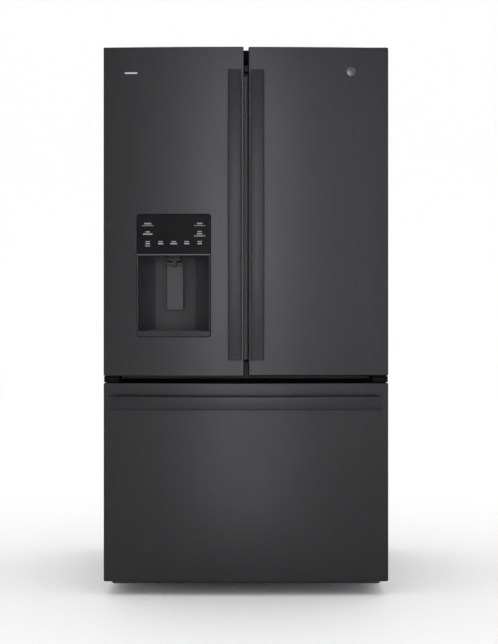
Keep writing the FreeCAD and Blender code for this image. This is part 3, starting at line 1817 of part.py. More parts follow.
def build():
    for make in (
        cabinet_wrapper,
        rear_panel,
        cabinet_foam,
        fresh_food_liner,
        freezer_liner,
        front_rails,
        base_frame,
        base_grille,
        compressor_cover,
        rear_inlets,
        compressor,
        condenser_coil,
        condenser_fan,
        fan_bracket,
        evaporator_coil,
        evaporator_cover,
        evaporator_fan,
        air_duct_cover,
        leveling_legs,
        rear_rollers,
        top_hinges,
        hinge_covers,
        middle_hinges,
        mullion_guide,
        glass_shelves,
        shelf_frames,
        shelf_tracks,
        crispers,
        filter_housing,
        water_filter,
        door_skins,
        door_cores,
        door_liners,
        door_seals,
        door_bins,
        door_handles,
        dispenser_well,
        control_panel,
        dispenser_spout,
        dispenser_paddle,
        ice_box,
        mullion_bar,
        drawer_front,
        drawer_liner,
        drawer_seal,
        freezer_handle,
        freezer_slides,
        baskets,
    ):
        make()
    doc.recompute()


def check():
    """Stop on any failed object, and on any piece that is not a valid solid."""
    for thing in doc.Objects:
        if "Invalid" in thing.State or "Error" in thing.State:
            raise RuntimeError(f"{thing.Label} failed: {thing.State}")
    for piece in finished:
        shape = piece.Shape
        if shape.isNull() or not shape.isValid() or not shape.Solids:
            raise RuntimeError(f"{piece.Label} is not a valid solid")


def write():
    os.makedirs("parts", exist_ok=True)
    for piece in finished:
        piece.Shape.exportStep(f"parts/{piece.Label}.step")
        box = piece.Shape.BoundBox
        print(
            f"{piece.Label:20s} {len(piece.Shape.Solids)} solid(s)",
            f"x {box.XMin:.1f}..{box.XMax:.1f}",
            f"y {box.YMin:.1f}..{box.YMax:.1f}",
            f"z {box.ZMin:.1f}..{box.ZMax:.1f}",
        )
    print(len(finished), "sub-parts")


build()
check()
write()
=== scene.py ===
import json
import math

import bmesh
import bpy
from mathutils import Matrix, Vector


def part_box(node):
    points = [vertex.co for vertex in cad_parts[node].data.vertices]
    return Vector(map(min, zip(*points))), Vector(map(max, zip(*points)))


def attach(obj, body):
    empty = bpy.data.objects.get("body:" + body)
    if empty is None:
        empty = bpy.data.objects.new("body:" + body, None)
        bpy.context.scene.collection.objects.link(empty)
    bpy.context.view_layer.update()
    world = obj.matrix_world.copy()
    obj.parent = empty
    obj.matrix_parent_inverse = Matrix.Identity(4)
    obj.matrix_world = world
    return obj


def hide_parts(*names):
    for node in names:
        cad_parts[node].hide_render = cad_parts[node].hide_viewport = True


bl_info = {
    "name": "French Door Refrigerator",
    "version": (1, 0, 0),
    "blender": (4, 5, 0),
    "location": "3D View > Sidebar > Refrigerator",
    "description": "Dresses the packed refrigerator with finishes, trim, seals and a dispenser",
    "category": "Object",
}

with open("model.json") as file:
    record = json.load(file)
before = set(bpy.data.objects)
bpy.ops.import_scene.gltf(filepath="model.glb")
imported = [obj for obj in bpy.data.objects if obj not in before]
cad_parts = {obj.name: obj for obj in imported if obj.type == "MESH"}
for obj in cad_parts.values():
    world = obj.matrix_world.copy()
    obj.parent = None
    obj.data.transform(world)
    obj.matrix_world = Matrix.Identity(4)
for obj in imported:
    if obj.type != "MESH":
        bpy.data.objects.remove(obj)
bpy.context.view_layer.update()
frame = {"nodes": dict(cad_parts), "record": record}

MM = 0.001
X_AXIS, Y_AXIS, Z_AXIS = Vector((1, 0, 0)), Vector((0, 1, 0)), Vector((0, 0, 1))
SMOOTH_ANGLE = math.radians(35)

# ---- places read from the frame ------------------------------------------------------------

SKIN_LOW, SKIN_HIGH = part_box("left_door_skin")
RIGHT_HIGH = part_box("right_door_skin")[1]
DRAWER_LOW, DRAWER_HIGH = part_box("drawer_skin")
CASE_LOW, CASE_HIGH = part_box("cabinet_wrapper")
WELL_LOW, WELL_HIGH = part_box("dispenser_well")
PANEL_LOW, PANEL_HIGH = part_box("control_panel")
LINER_LOW, LINER_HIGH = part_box("fresh_food_liner")

FRONT_APEX = DRAWER_LOW.y
FRONT_BOW = 14 * MM  # how much the outer edges of the fronts lie behind their middle
FRONT_HALF = DRAWER_HIGH.x
FRONT_RADIUS = (FRONT_HALF**2 + FRONT_BOW**2) / (2 * FRONT_BOW)


def front_at(x):
    """Depth of the doors' shared convex front at a distance from the middle."""
    return FRONT_APEX + FRONT_RADIUS - math.sqrt(FRONT_RADIUS**2 - x**2)


# ---- settings ------------------------------------------------------------------------------


class StageSettings(bpy.types.PropertyGroup):
    """Camera, floor and lamps."""

    distance: bpy.props.FloatProperty(
        name="Camera distance",
        description="From the front of the doors",
        default=4.0,
        unit="LENGTH",
    )
    height: bpy.props.FloatProperty(
        name="Camera height", description="Above the floor", default=0.896, unit="LENGTH"
    )
    lens: bpy.props.FloatProperty(
        name="Focal length", description="For a 36 mm sensor, in millimetres", default=70.4
    )
    shift_x: bpy.props.FloatProperty(
        name="Shift across", description="Share of the picture's long side", default=0.0047
    )
    shift_y: bpy.props.FloatProperty(
        name="Shift up", description="Share of the picture's long side", default=-0.0116
    )
    sky: bpy.props.FloatProperty(
        name="Sky strength", description="Even white light from all round", default=1.12
    )
    key: bpy.props.FloatProperty(
        name="Softbox power",
        description="Tall softbox behind the camera",
        default=50.0,
        unit="POWER",
    )
    fill: bpy.props.FloatProperty(
        name="Fill power", description="Wide softbox to the right", default=11.0, unit="POWER"
    )
    low: bpy.props.FloatProperty(
        name="Low panel power",
        description="Small panel in front of the drawer",
        default=0.7,
        unit="POWER",
    )
    floor: bpy.props.StringProperty(
        name="Floor colour", description="Pale studio floor, as sRGB hex", default="#fafafa"
    )


class FinishSettings(bpy.types.PropertyGroup):
    """Colours of the main finishes, as sRGB hex."""

    stainless: bpy.props.StringProperty(
        name="Black stainless", description="Oxide tint of the doors and drawer", default="#303031"
    )
    handle: bpy.props.StringProperty(
        name="Handles", description="Tint of the bars", default="#2f2f30"
    )
    case: bpy.props.StringProperty(
        name="Case paint", description="Textured enamel of the case", default="#2b2c2e"
    )
    liner: bpy.props.StringProperty(
        name="Liner", description="Moulded white of the compartments", default="#eceeef"
    )
    dispenser: bpy.props.StringProperty(
        name="Dispenser", description="Moulded grey of the well", default="#2e2e30"
    )


# ---- colour and nodes ----------------------------------------------------------------------


def linear(text, alpha=1.0):
    """An sRGB hex colour as linear RGBA."""
    channels = [int(text[i : i + 2], 16) / 255 for i in (1, 3, 5)]
    low = [c / 12.92 if c <= 0.04045 else ((c + 0.055) / 1.055) ** 2.4 for c in channels]
    return (*low, alpha)


def add(tree, kind, inputs=None, **settings):
    """Add a node with its settings, and set or link its inputs."""
    node = tree.nodes.new(kind)
    for name, value in settings.items():
        setattr(node, name, value)
    for key, value in (inputs or {}).items():
        if isinstance(value, bpy.types.NodeSocket):
            tree.links.new(value, node.inputs[key])
        else:
            node.inputs[key].default_value = value
    return node


def new_material(name):
    """An empty material with its output; returns the material and its tree."""
    material = bpy.data.materials.new(name)
    material.use_nodes = True
    material.node_tree.nodes.clear()
    return material, material.node_tree


def finish(tree, inputs):
    """Close a material with its shader."""
    shader = add(tree, "ShaderNodeBsdfPrincipled", inputs)
    add(tree, "ShaderNodeOutputMaterial", {"Surface": shader.outputs[0]})


def stretched(tree, sizes):
    """Object coordinates counted in sizes, given in millimetres along X, Y and Z."""
    place = add(tree, "ShaderNodeTexCoord")
    scale = [1 / (size * MM) for size in sizes]
    mapping = add(tree, "ShaderNodeMapping", {"Vector": place.outputs["Object"], "Scale": scale})
    return mapping.outputs[0]


def noise(tree, sizes, detail=2.0):
    """Soft noise, its sizes in millimetres along X, Y and Z."""
    inputs = {"Vector": stretched(tree, sizes), "Scale": 1.0, "Detail": detail, "Roughness": 0.5}
    return add(tree, "ShaderNodeTexNoise", inputs).outputs[0]


def cells(tree, size):
    """Cells of a size in millimetres; the node gives their distance and colour."""
    inputs = {"Vector": stretched(tree, (size, size, size)), "Scale": 1.0}
    return add(tree, "ShaderNodeTexVoronoi", inputs, feature="F1")


def spread(tree, value, low, high):
    """A pattern's middle stretch mapped onto low to high."""
    node = add(
        tree,
        "ShaderNodeMapRange",
        {"Value": value, "From Min": 0.3, "From Max": 0.7, "To Min": low, "To Max": high},
    )
    return node.outputs[0]


def shade(tree, value, dark, light):
    """A pattern turned into a colour between two hex colours."""
    ramp = add(tree, "ShaderNodeValToRGB", {"Fac": value})
    ends = ramp.color_ramp.elements
    ends[0].position, ends[1].position = 0.3, 0.7
    ends[0].color, ends[1].color = linear(dark), linear(light)
    return ramp.outputs[0]


def bump(tree, value, height, strength=1.0):
    """A normal from a pattern, its height in millimetres."""
    node = add(
        tree,
        "ShaderNodeBump",
        {"Height": value, "Distance": height * MM, "Strength": strength},
    )
    return node.outputs[0]


def toned(text, factor):
    """The same hex colour made lighter or darker."""
    channels = [min(255, round(int(text[i : i + 2], 16) * factor)) for i in (1, 3, 5)]
    return "#" + "".join(f"{c:02x}" for c in channels)


# ---- materials -----------------------------------------------------------------------------


def brushed_steel(name, colour, roughness, grain=(0.9, 0.9, 260)):
    """Stainless sheet brushed along one way, then tinted dark by an oxide coat. A light spreads
    over it into a broad soft glow, with faint streaks along the brushing. Real scratches are
    0.05 mm apart; these are as coarse as they need to be to show."""
    material, tree = new_material(name)
    streaks = noise(tree, grain, detail=3.0)
    cloud = noise(tree, (180, 180, 420), detail=1.0)
    finish(
        tree,
        {
            "Base Color": shade(tree, streaks, toned(colour, 0.95), toned(colour, 1.05)),
            "Metallic": 1.0,
            "Roughness": spread(tree, cloud, roughness - 0.015, roughness + 0.015),
            "Normal": bump(tree, streaks, 0.004),
        },
    )
    return material


def black_stainless():
    return brushed_steel("black_stainless_steel", bpy.context.scene.fridge_finish.stainless, 0.28)


def handle_steel():
    """The handles' extruded bars have the same coat over a finer, duller brushing."""
    return brushed_steel(
        "black_stainless_handle_bar", bpy.context.scene.fridge_finish.handle, 0.33, (0.7, 0.7, 160)
    )


def textured_enamel():
    """Baked polyester powder coat with a leather-like pebble, so that the sides look soft and
    hide dents. Pebbles are about 2 mm across."""
    colour = bpy.context.scene.fridge_finish.case
    material, tree = new_material("textured_enamel")
    pebble = cells(tree, 2.2)
    cloud = noise(tree, (120, 120, 120))
    finish(
        tree,
        {
            "Base Color": shade(tree, cloud, toned(colour, 0.95), toned(colour, 1.06)),
            "Roughness": spread(tree, pebble.outputs[0], 0.38, 0.5),
            "Normal": bump(tree, pebble.outputs[0], 0.12, 0.6),
        },
    )
    return material


def galvanised_steel():
    """Zinc-coated sheet with its frosted spangle, about 9 mm across."""
    material, tree = new_material("galvanised_steel")
    spangle = cells(tree, 9)
    tone = add(tree, "ShaderNodeSeparateColor", {"Color": spangle.outputs["Color"]})
    finish(
        tree,
        {
            "Base Color": shade(tree, tone.outputs[0], "#9b9ea1", "#a5a8aa"),
            "Metallic": 1.0,
            "Roughness": spread(tree, tone.outputs[1], 0.42, 0.5),
        },
    )
    return material


def plastic(name, dark, light, roughness, grain=0.8, height=0.02, **extra):
    """Injection or vacuum moulded plastic: nearly even colour, and a fine moulded grain."""
    material, tree = new_material(name)
    texture = noise(tree, (grain, grain, grain), detail=2.0)
    cloud = noise(tree, (90, 90, 90))
    finish(
        tree,
        {
            "Base Color": shade(tree, cloud, dark, light),
            "Roughness": spread(tree, texture, roughness - 0.04, roughness + 0.04),
            "Normal": bump(tree, texture, height),
            **extra,
        },
    )
    return material


def moulded_liner():
    """High impact polystyrene, vacuum formed: white, faintly waxy, with a soft gloss."""
    colour = bpy.context.scene.fridge_finish.liner
    glow = {
        "Subsurface Weight": 0.08,
        "Subsurface Radius": (0.004, 0.004, 0.004),
        "Subsurface Scale": 1.0,
    }
    return plastic("white_polystyrene", toned(colour, 0.985), colour, 0.3, 1.6, 0.012, **glow)


def clear_polystyrene():
    """Clear moulded polystyrene of the bins and baskets: glassy with a faint cool tint."""
    return plastic(
        "clear_polystyrene", "#f2f6f7", "#f9fbfb", 0.08, 6, 0.01,
        **{"Transmission Weight": 0.95, "IOR": 1.3, "Alpha": 0.75},
    )


def tempered_glass():
    """Tempered soda-lime glass, which looks green where it is thick."""
    material, tree = new_material("tempered_glass")
    wave = noise(tree, (140, 140, 140))
    finish(
        tree,
        {
            "Base Color": shade(tree, wave, "#ecf7f2", "#f2faf6"),
            "Roughness": 0.02,
            "Transmission Weight": 1.0,
            "IOR": 1.52,
        },
    )
    return material


def dispenser_plastic():
    """ABS of the dispenser, moulded with a satin grain and tinted to go with the doors."""
    colour = bpy.context.scene.fridge_finish.dispenser
    return plastic(
        "grey_abs", toned(colour, 0.96), toned(colour, 1.04), 0.5, 0.9, 0.02,
        **{"Specular IOR Level": 0.3},
    )


def dark_plastic():
    """Black polypropylene with a dull moulded grain."""
    return plastic("black_polypropylene", "#161718", "#1d1e20", 0.55, 1.2, 0.05)


def gloss_panel():
    """Clear sheet printed black on its back: deep black under a hard face with an
    anti-glare coat."""
    material, tree = new_material("black_printed_panel")
    cloud = noise(tree, (60, 60, 60))
    finish(
        tree,
        {
            "Base Color": shade(tree, cloud, "#131314", "#151516"),
            "Roughness": 0.28,
            "Specular IOR Level": 0.04,
        },
    )
    return material


def seal_vinyl():
    """Soft vinyl of the magnetic seals: dull grey with a slight sheen on its folds."""
    return plastic("soft_vinyl", "#3a3b3d", "#434446", 0.6, 1.5, 0.03)


def coil_aluminium():
    """Drawn aluminium tube, bright and lightly scratched along its length."""
    material, tree = new_material("drawn_aluminium")
    marks = noise(tree, (40, 1.2, 1.2), detail=3.0)
    finish(
        tree,
        {
            "Base Color": shade(tree, marks, "#a8abad", "#c4c6c8"),
            "Metallic": 1.0,
            "Roughness": spread(tree, marks, 0.3, 0.42),
        },
    )
    return material


def pot_enamel():
    """Black stoving enamel of the compressor's pressed shell, with a slight orange peel."""
    return plastic("black_stoving_enamel", "#0d0e0f", "#131415", 0.25, 3.5, 0.03)


def urethane_foam():
    """Blown polyurethane: pale straw colour, matt, with cells about 1 mm across."""
    return plastic("polyurethane_foam", "#d9c894", "#e8dcb4", 0.9, 1.0, 0.2)


SLOT_MATERIALS = {
    "black_stainless": black_stainless,
    "handle_steel": handle_steel,
    "case_paint": textured_enamel,
    "galvanized_steel": galvanised_steel,
    "white_liner": moulded_liner,
    "foam": urethane_foam,
    "clear_plastic": clear_polystyrene,
    "shelf_glass": tempered_glass,
    "black_plastic": dark_plastic,
    "grey_plastic": dispenser_plastic,
    "black_gloss": gloss_panel,
    "seal_rubber": seal_vinyl,
    "compressor_enamel": pot_enamel,
    "coil_metal": coil_aluminium,
}
made_materials = {}


def material_for(slot):
    """The finish of one of the record's material slots."""
    if slot not in made_materials:
        made_materials[slot] = SLOT_MATERIALS[slot]()
    return made_materials[slot]


def printed_mark():
    """White ink screen printed on the panel's back, slightly grey under its face."""
    return shared("white_screen_print", plastic, "#a9abad", "#b4b6b8", 0.5, 0.6, 0.002)


def trim_paint():
    """ABS trim with a dark metallic lacquer, made to go with the doors."""
    return shared("metallic_lacquer", brushed_steel, "#2e2e30", 0.4, (0.9, 0.9, 60))


def trim_metal():
    """Satin anodised aluminium strip along the edges of shelves and bins."""
    return shared("satin_aluminium", brushed_steel, "#b4b7ba", 0.34, (90, 1.0, 1.0))


def badge_metal():
    """Spun bright metal disc under a dark lacquer."""
    return shared("spun_bright_metal", brushed_steel, "#535355", 0.24, (40, 40, 0.5))


def lever_plastic():
    """The paddle's ABS is a lighter grey than the well's."""
    dull = {"Specular IOR Level": 0.25}
    return shared("light_grey_abs", plastic, "#3a3a3c", "#3f3f41", 0.45, 0.9, 0.02, **dull)


def painted_gap_shade():
    """Dead flat black inside the gaps: painted shade that stands for the deep shadow there, and
    also hides what is behind them.
    """
    dull = {"Specular IOR Level": 0.1}
    return shared("flat_black_paint", plastic, "#060607", "#08080a", 0.8, 1.0, 0.01, **dull)


def header_metal():
    """Thin satin strip between the touch panel and the well."""
    return shared("satin_header_strip", brushed_steel, "#4a4a4c", 0.4, (60, 0.9, 0.9))


def bar_plastic():
    """The folding bar's cover: grey ABS with a satin lacquer."""
    return shared("satin_grey_abs", plastic, "#47484a", "#4c4d4f", 0.42, 0.9, 0.015)


def lamp_lens():
    """Opal acrylic over the lamps, which spreads their light."""
    return shared("opal_acrylic", plastic, "#f4f5f5", "#fbfbfb", 0.35, 2.0, 0.01)


def frosted_polystyrene():
    """Crisper fronts: clear polystyrene moulded with a frosted grain."""
    clear = {"Transmission Weight": 0.6, "IOR": 1.45}
    return shared("frosted_polystyrene", plastic, "#f3f6f7", "#fafcfc", 0.38, 0.8, 0.02, **clear)


def shared(name, make, *values, **extra):
    """The material of that name, made at its first use."""
    if name not in made_materials:
        made_materials[name] = make(name, *values, **extra)
    return made_materials[name]


# ---- stage ---------------------------------------------------------------------------------


class FRIDGE_OT_stage(bpy.types.Operator):
    """Make the camera, the floor and the lamps"""

    bl_idname = "fridge.stage"
    bl_label = "Stage"

    def execute(self, context):
        settings = context.scene.fridge_stage
        camera = bpy.data.objects.new("camera", bpy.data.cameras.new("camera"))
        context.scene.collection.objects.link(camera)
        camera.location = (0, FRONT_APEX - settings.distance, settings.height)
        camera.rotation_euler = (math.radians(90), 0, 0)
        camera.data.lens = settings.lens
        camera.data.sensor_width = 36
        camera.data.shift_x = settings.shift_x
        camera.data.shift_y = settings.shift_y
        context.scene.camera = camera
        context.scene.view_settings.view_transform = "Standard"
        make_floor(settings)
        make_sky(settings)
        make_softboxes(settings)
        return {"FINISHED"}


def make_floor(settings):
    """A wide studio floor that curves up into a wall all round."""
    flat, bend, top = 9.0, 3.0, 5.0
    mesh = bmesh.new()
    centre = mesh.verts.new((0, 0, 0))
    edge = mesh.verts.new((flat, 0, 0))
    mesh.edges.new((centre, edge))
    bmesh.ops.spin(
        mesh,
        geom=[edge],
        cent=(flat, 0, bend),
        axis=Y_AXIS,
        angle=math.radians(-90),
        steps=12,
    )
    mesh.verts.ensure_lookup_table()
    rim = max(mesh.verts, key=lambda v: v.co.z)
    lifted = bmesh.ops.extrude_vert_indiv(mesh, verts=[rim])["verts"]
    bmesh.ops.translate(mesh, verts=lifted, vec=(0, 0, top))
    bmesh.ops.spin(
        mesh,
        geom=list(mesh.edges),
        cent=(0, 0, 0),
        axis=Z_AXIS,
        angle=math.tau,
        steps=96,
        use_merge=True,
    )
    bmesh.ops.remove_doubles(mesh, verts=mesh.verts, dist=1e-5)
    bmesh.ops.recalc_face_normals(mesh, faces=mesh.faces)
    data = bpy.data.meshes.new("studio_floor")
    mesh.to_mesh(data)
    mesh.free()
    data.polygons.foreach_set("use_smooth", [True] * len(data.polygons))
    floor = bpy.data.objects.new("studio_floor", data)
    bpy.context.scene.collection.objects.link(floor)
    data.materials.append(plastic("studio_floor", settings.floor, settings.floor, 0.8, 30, 0.001))


def make_sky(settings):
    """Even white light from all round."""
    world = bpy.data.worlds.new("studio_light")
    world.use_nodes = True
    background = world.node_tree.nodes["Background"]
    background.inputs["Color"].default_value = (1, 1, 1, 1)
    background.inputs["Strength"].default_value = settings.sky
    bpy.context.scene.world = world


def softbox(name, place, target, size, power):
    """A rectangular lamp at place, facing target."""
    data = bpy.data.lights.new(name, "AREA")
    data.shape = "RECTANGLE"
    data.size, data.size_y = size
    data.energy = power
    lamp = bpy.data.objects.new(name, data)
    lamp.location = place
    lamp.visible_camera = False
    lamp.rotation_euler = (Vector(target) - Vector(place)).to_track_quat("-Z", "Y").to_euler()
    bpy.context.scene.collection.objects.link(lamp)


def make_softboxes(settings):
    """One tall lamp behind the camera, one to the right, and a low one before the drawer."""
    softbox("tall_softbox", (-0.07, -6.4, 1.65), (-0.07, 0, 1.65), (0.75, 2.9), settings.key)
    softbox("side_softbox", (1.6, -6.2, 1.6), (0.25, 0, 1.6), (1.0, 2.7), settings.fill)
    softbox("low_panel", (0.0, -1.9, 0.18), (0.0, 0, 0.2), (0.5, 0.3), settings.low)


# ---- making pieces -------------------------------------------------------------------------


def to_piece(name, mesh, body, slot, material=None, smooth=True):
    """Turn a bmesh into a finished piece that rides on a body."""
    data = bpy.data.meshes.new(name)
    mesh.to_mesh(data)
    mesh.free()
    piece = bpy.data.objects.new(name, data)
    bpy.context.scene.collection.objects.link(piece)
    if smooth:
        data.polygons.foreach_set("use_smooth", [True] * len(data.polygons))
        data.set_sharp_from_angle(angle=SMOOTH_ANGLE)
    data.materials.append(material or material_for(slot))
    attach(piece, body)
    return piece


def soften(piece, width, segments=3):
    """Round the sharp edges of a finished piece."""
    bevel = piece.modifiers.new("rounded_edges", "BEVEL")
    bevel.width = width
    bevel.segments = segments
    bevel.limit_method = "ANGLE"
    bevel.angle_limit = SMOOTH_ANGLE
    bevel.harden_normals = True
    return piece


def verts_in(made):
    """The vertices among the geometry that an operator returned."""
    return [item for item in made if isinstance(item, bmesh.types.BMVert)]


def unique(parts):
    """The parts of a mesh once each, in the order they come in, which is the same every run."""
    return list(dict.fromkeys(parts))


def block(mesh, low, high):
    """Add a box between two corners; returns its vertices."""
    low, high = Vector(low), Vector(high)
    size = high - low
    matrix = Matrix.Translation((low + high) / 2) @ Matrix.Diagonal((*size, 1))
    return bmesh.ops.create_cube(mesh, size=1, matrix=matrix)["verts"]


def round_block(mesh, low, high, radius, segments=4):
    """Add a box with rounded edges; returns its vertices."""
    verts = block(mesh, low, high)
    edges = unique(edge for v in verts for edge in v.link_edges)
    made = bmesh.ops.bevel(
        mesh,
        geom=verts + edges,
        offset=radius,
        offset_type="OFFSET",
        segments=segments,
        profile=0.5,
        affect="EDGES",
        material=-1,
    )
    kept = [v for v in verts if v.is_valid]
    return unique(kept + [v for face in made["faces"] for v in face.verts])


def boxed(name, boxes, body, slot, material=None):
    """A piece made of rounded boxes, each given as low, high, radius and maybe segments."""
    mesh = bmesh.new()
    for box in boxes:
        round_block(mesh, *box)
    return to_piece(name, mesh, body, slot, material)


def turned(mesh, outline, centre, axis, steps=32):
    """A closed solid of revolution. The outline holds (radius, along) pairs in millimetres,
    from one end of the axis to the other, counted from centre."""
    side = axis.orthogonal().normalized()
    ring = [
        mesh.verts.new(centre + side * (radius * MM) + axis * (along * MM))
        for radius, along in outline
    ]
    edges = [mesh.edges.new(two) for two in zip(ring, ring[1:])]
    made = bmesh.ops.spin(
        mesh, geom=ring + edges, cent=centre, axis=axis, angle=math.tau, steps=steps, use_merge=True
    )
    touched = ring + verts_in(made["geom_last"])
    island = unique(f for v in touched if v.is_valid for f in v.link_faces)
    found = set(island)
    for face in island:
        for near in (f for e in face.edges for f in e.link_faces):
            if near not in found:
                found.add(near)
                island.append(near)
    verts = unique(v for face in island for v in face.verts)
    bmesh.ops.remove_doubles(mesh, verts=verts, dist=0.001 * MM)
    island = [f for f in island if f.is_valid]
    bmesh.ops.recalc_face_normals(mesh, faces=island)
    return unique(v for face in island for v in face.verts)


def bow(verts):
    """Bend what was made flat on the foremost plane back onto the doors' convex front."""
    for v in verts:
        v.co.y += front_at(v.co.x) - FRONT_APEX


def slice_across(mesh, left, right, count):
    """Cut everything with upright planes, so that it can be bent."""
    for number in range(1, count):
        place = Vector((left + (right - left) * number / count, 0, 0))
        everything = [*mesh.verts, *mesh.edges, *mesh.faces]
        bmesh.ops.bisect_plane(mesh, geom=everything, plane_co=place, plane_no=X_AXIS)


def edges_where(verts, wanted):
    """Edges among verts whose unit direction and middle satisfy wanted."""
    found = []
    for edge in unique(e for v in verts for e in v.link_edges):
        start, end = (v.co for v in edge.verts)
        if wanted((end - start).normalized(), (start + end) / 2):
            found.append(edge)
    return found


def round_off(mesh, edges, radius, segments=5):
    """Round some edges of a mesh."""
    bmesh.ops.bevel(
        mesh,
        geom=edges,
        offset=radius,
        offset_type="OFFSET",
        segments=segments,
        profile=0.5,
        affect="EDGES",
        material=-1,
    )


def carve(piece, *cutters):
    """Cut closed shapes out of a piece for good; the cutters go."""
    for cutter in cutters:
        modifier = piece.modifiers.new("cut", "BOOLEAN")
        modifier.operation = "DIFFERENCE"
        modifier.solver = "EXACT"
        modifier.object = cutter
    graph = bpy.context.evaluated_depsgraph_get()
    carved = bpy.data.meshes.new_from_object(piece.evaluated_get(graph))
    piece.modifiers.clear()
    old = piece.data
    piece.data = carved
    bpy.data.meshes.remove(old)
    for cutter in cutters:
        bpy.data.objects.remove(cutter)


def cutter_of(mesh):
    """A loose object from a bmesh, to cut with."""
    data = bpy.data.meshes.new("cutter")
    mesh.to_mesh(data)
    mesh.free()
    cutter = bpy.data.objects.new("cutter", data)
    bpy.context.scene.collection.objects.link(cutter)
    return cutter


SCREW_HEAD = 0.8 * MM  # how far screw heads stand out of their sheet


def refined(node, body, slot, width, segments=3, sunk=None):
    """A copy of a CAD node with welded, rounded edges, which stands for it. Its outermost face
    along the axis sunk lies deeper by a screw head."""
    mesh = bmesh.new()
    mesh.from_mesh(frame["nodes"][node].data)
    bmesh.ops.remove_doubles(mesh, verts=mesh.verts, dist=0.01 * MM)
    bmesh.ops.dissolve_limit(
        mesh, angle_limit=math.radians(0.5), verts=mesh.verts, edges=mesh.edges
    )
    if sunk is not None:
        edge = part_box(node)[1][sunk] - 0.1 * MM
        shift = Vector()
        shift[sunk] = -SCREW_HEAD
        bmesh.ops.translate(mesh, verts=[v for v in mesh.verts if v.co[sunk] > edge], vec=shift)
    piece = to_piece(f"{node}_finished", mesh, body, slot)
    soften(piece, width, segments)
    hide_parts(node)
    return piece


def refine_all(rows):
    """Refine nodes given as node, body, slot, edge width in millimetres and segments."""
    for node, body, slot, width, segments in rows:
        refined(node, body, slot, width * MM, segments)


# ---- finishes on the CAD nodes -------------------------------------------------------------


class FRIDGE_OT_finishes(bpy.types.Operator):
    """Give every node of the frame its finish"""

    bl_idname = "fridge.finishes"
    bl_label = "Finishes"

    def execute(self, context):
        slots = {part["node"]: part["material_slot"] for part in frame["record"]["subparts"]}
        for node, item in frame["nodes"].items():
            for holder in item.material_slots:
                holder.material = material_for(slots[node])
        return {"FINISHED"}


# ---- doors and drawer front ----------------------------------------------------------------

DOOR_EDGE = 4 * MM
HOLE_PLAY = 0.9 * MM  # shadow gap round the dispenser
CORNER = 8.5 * MM  # corners of the dispenser
FRONT_STEPS = 40


def bowed_slab(name, node, core, body, cutter=None):
    """A closed slab with the shared convex front, in place of a folded sheet and its foam."""
    low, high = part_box(node)
    mesh = bmesh.new()
    foot = mesh.verts.new((low.x, front_at(low.x), low.z))
    head = mesh.verts.new((low.x, front_at(low.x), high.z))
    edge = mesh.edges.new((foot, head))
    centre = Vector((0, FRONT_APEX + FRONT_RADIUS, 0))
    angle = math.asin(high.x / FRONT_RADIUS) - math.asin(low.x / FRONT_RADIUS)
    bmesh.ops.spin(
        mesh, geom=[foot, head, edge], cent=centre, axis=Z_AXIS, angle=angle, steps=FRONT_STEPS
    )
    rim = [e for e in mesh.edges if e.is_boundary]
    made = bmesh.ops.extrude_edge_only(mesh, edges=rim)["geom"]
    for v in verts_in(made):
        v.co.y = high.y
    bmesh.ops.holes_fill(mesh, edges=[e for e in mesh.edges if e.is_boundary], sides=0)
    bmesh.ops.recalc_face_normals(mesh, faces=mesh.faces)
    piece = to_piece(name, mesh, body, "black_stainless")
    if cutter:
        carve(piece, cutter)
    soften(piece, DOOR_EDGE, 4)
    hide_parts(node, core)


class FRIDGE_OT_fronts(bpy.types.Operator):
    """Make the two door fronts and the drawer front"""

    bl_idname = "fridge.fronts"
    bl_label = "Door and drawer fronts"

    def execute(self, context):
        hole = bmesh.new()
        low = (WELL_LOW.x - HOLE_PLAY, SKIN_LOW.y - DOOR_EDGE, WELL_LOW.z - HOLE_PLAY)
        high = (WELL_HIGH.x + HOLE_PLAY, SKIN_HIGH.y + DOOR_EDGE, PANEL_HIGH.z + HOLE_PLAY)
        verts = block(hole, low, high)
        round_off(hole, edges_where(verts, lambda way, middle: abs(way.y) > 0.9), CORNER)
        for name, body, cutter in (
            ("left_door", "left_door", cutter_of(hole)),
            ("right_door", "right_door", None),
            ("drawer", "freezer_drawer", None),
        ):
            bowed_slab(f"{name}_front", f"{name}_skin", f"{name}_core", body, cutter)
        return {"FINISHED"}


# ---- handles -------------------------------------------------------------------------------

HANDLE_THICKNESS = 14 * MM
HANDLE_BOW = 26 * MM
HANDLE_ROUND = 2.6 * MM
POST_LENGTH = 46 * MM
POST_WIDTH = 30 * MM
POST_INSET = 8 * MM


def bowed_bar(mesh, low, high, along):
    """A flat bar bowed away from the door, as one spin of its rounded section."""
    half = (high[along] - low[along]) / 2
    radius = (half**2 + HANDLE_BOW**2) / (2 * HANDLE_BOW)
    centre = (low + high) / 2
    centre.y = low.y + radius
    axis = X_AXIS if along == 2 else Z_AXIS
    start, end = low.copy(), high.copy()
    start[along] = end[along] = centre[along]
    end.y = low.y + HANDLE_THICKNESS
    across = 0 if along == 2 else 2
    corners = []
    for x, y in ((0, 0), (1, 0), (1, 1), (0, 1)):
        corner = start.copy()
        corner[across] = end[across] if x else start[across]
        corner.y = end.y if y else start.y
        corners.append(mesh.verts.new(corner))
    mesh.faces.new(corners)
    bmesh.ops.bevel(
        mesh,
        geom=corners,
        offset=HANDLE_ROUND,
        segments=4,
        profile=0.5,
        affect="VERTICES",
        material=-1,
    )
    section = next(f for f in mesh.faces if len(f.verts) > 4)
    angle = 2 * math.asin(half / radius)
    back = Matrix.Rotation(-angle / 2, 3, axis)
    bmesh.ops.rotate(mesh, verts=list(section.verts), cent=centre, matrix=back)
    bmesh.ops.spin(mesh, geom=[section], cent=centre, axis=axis, angle=angle, steps=44)


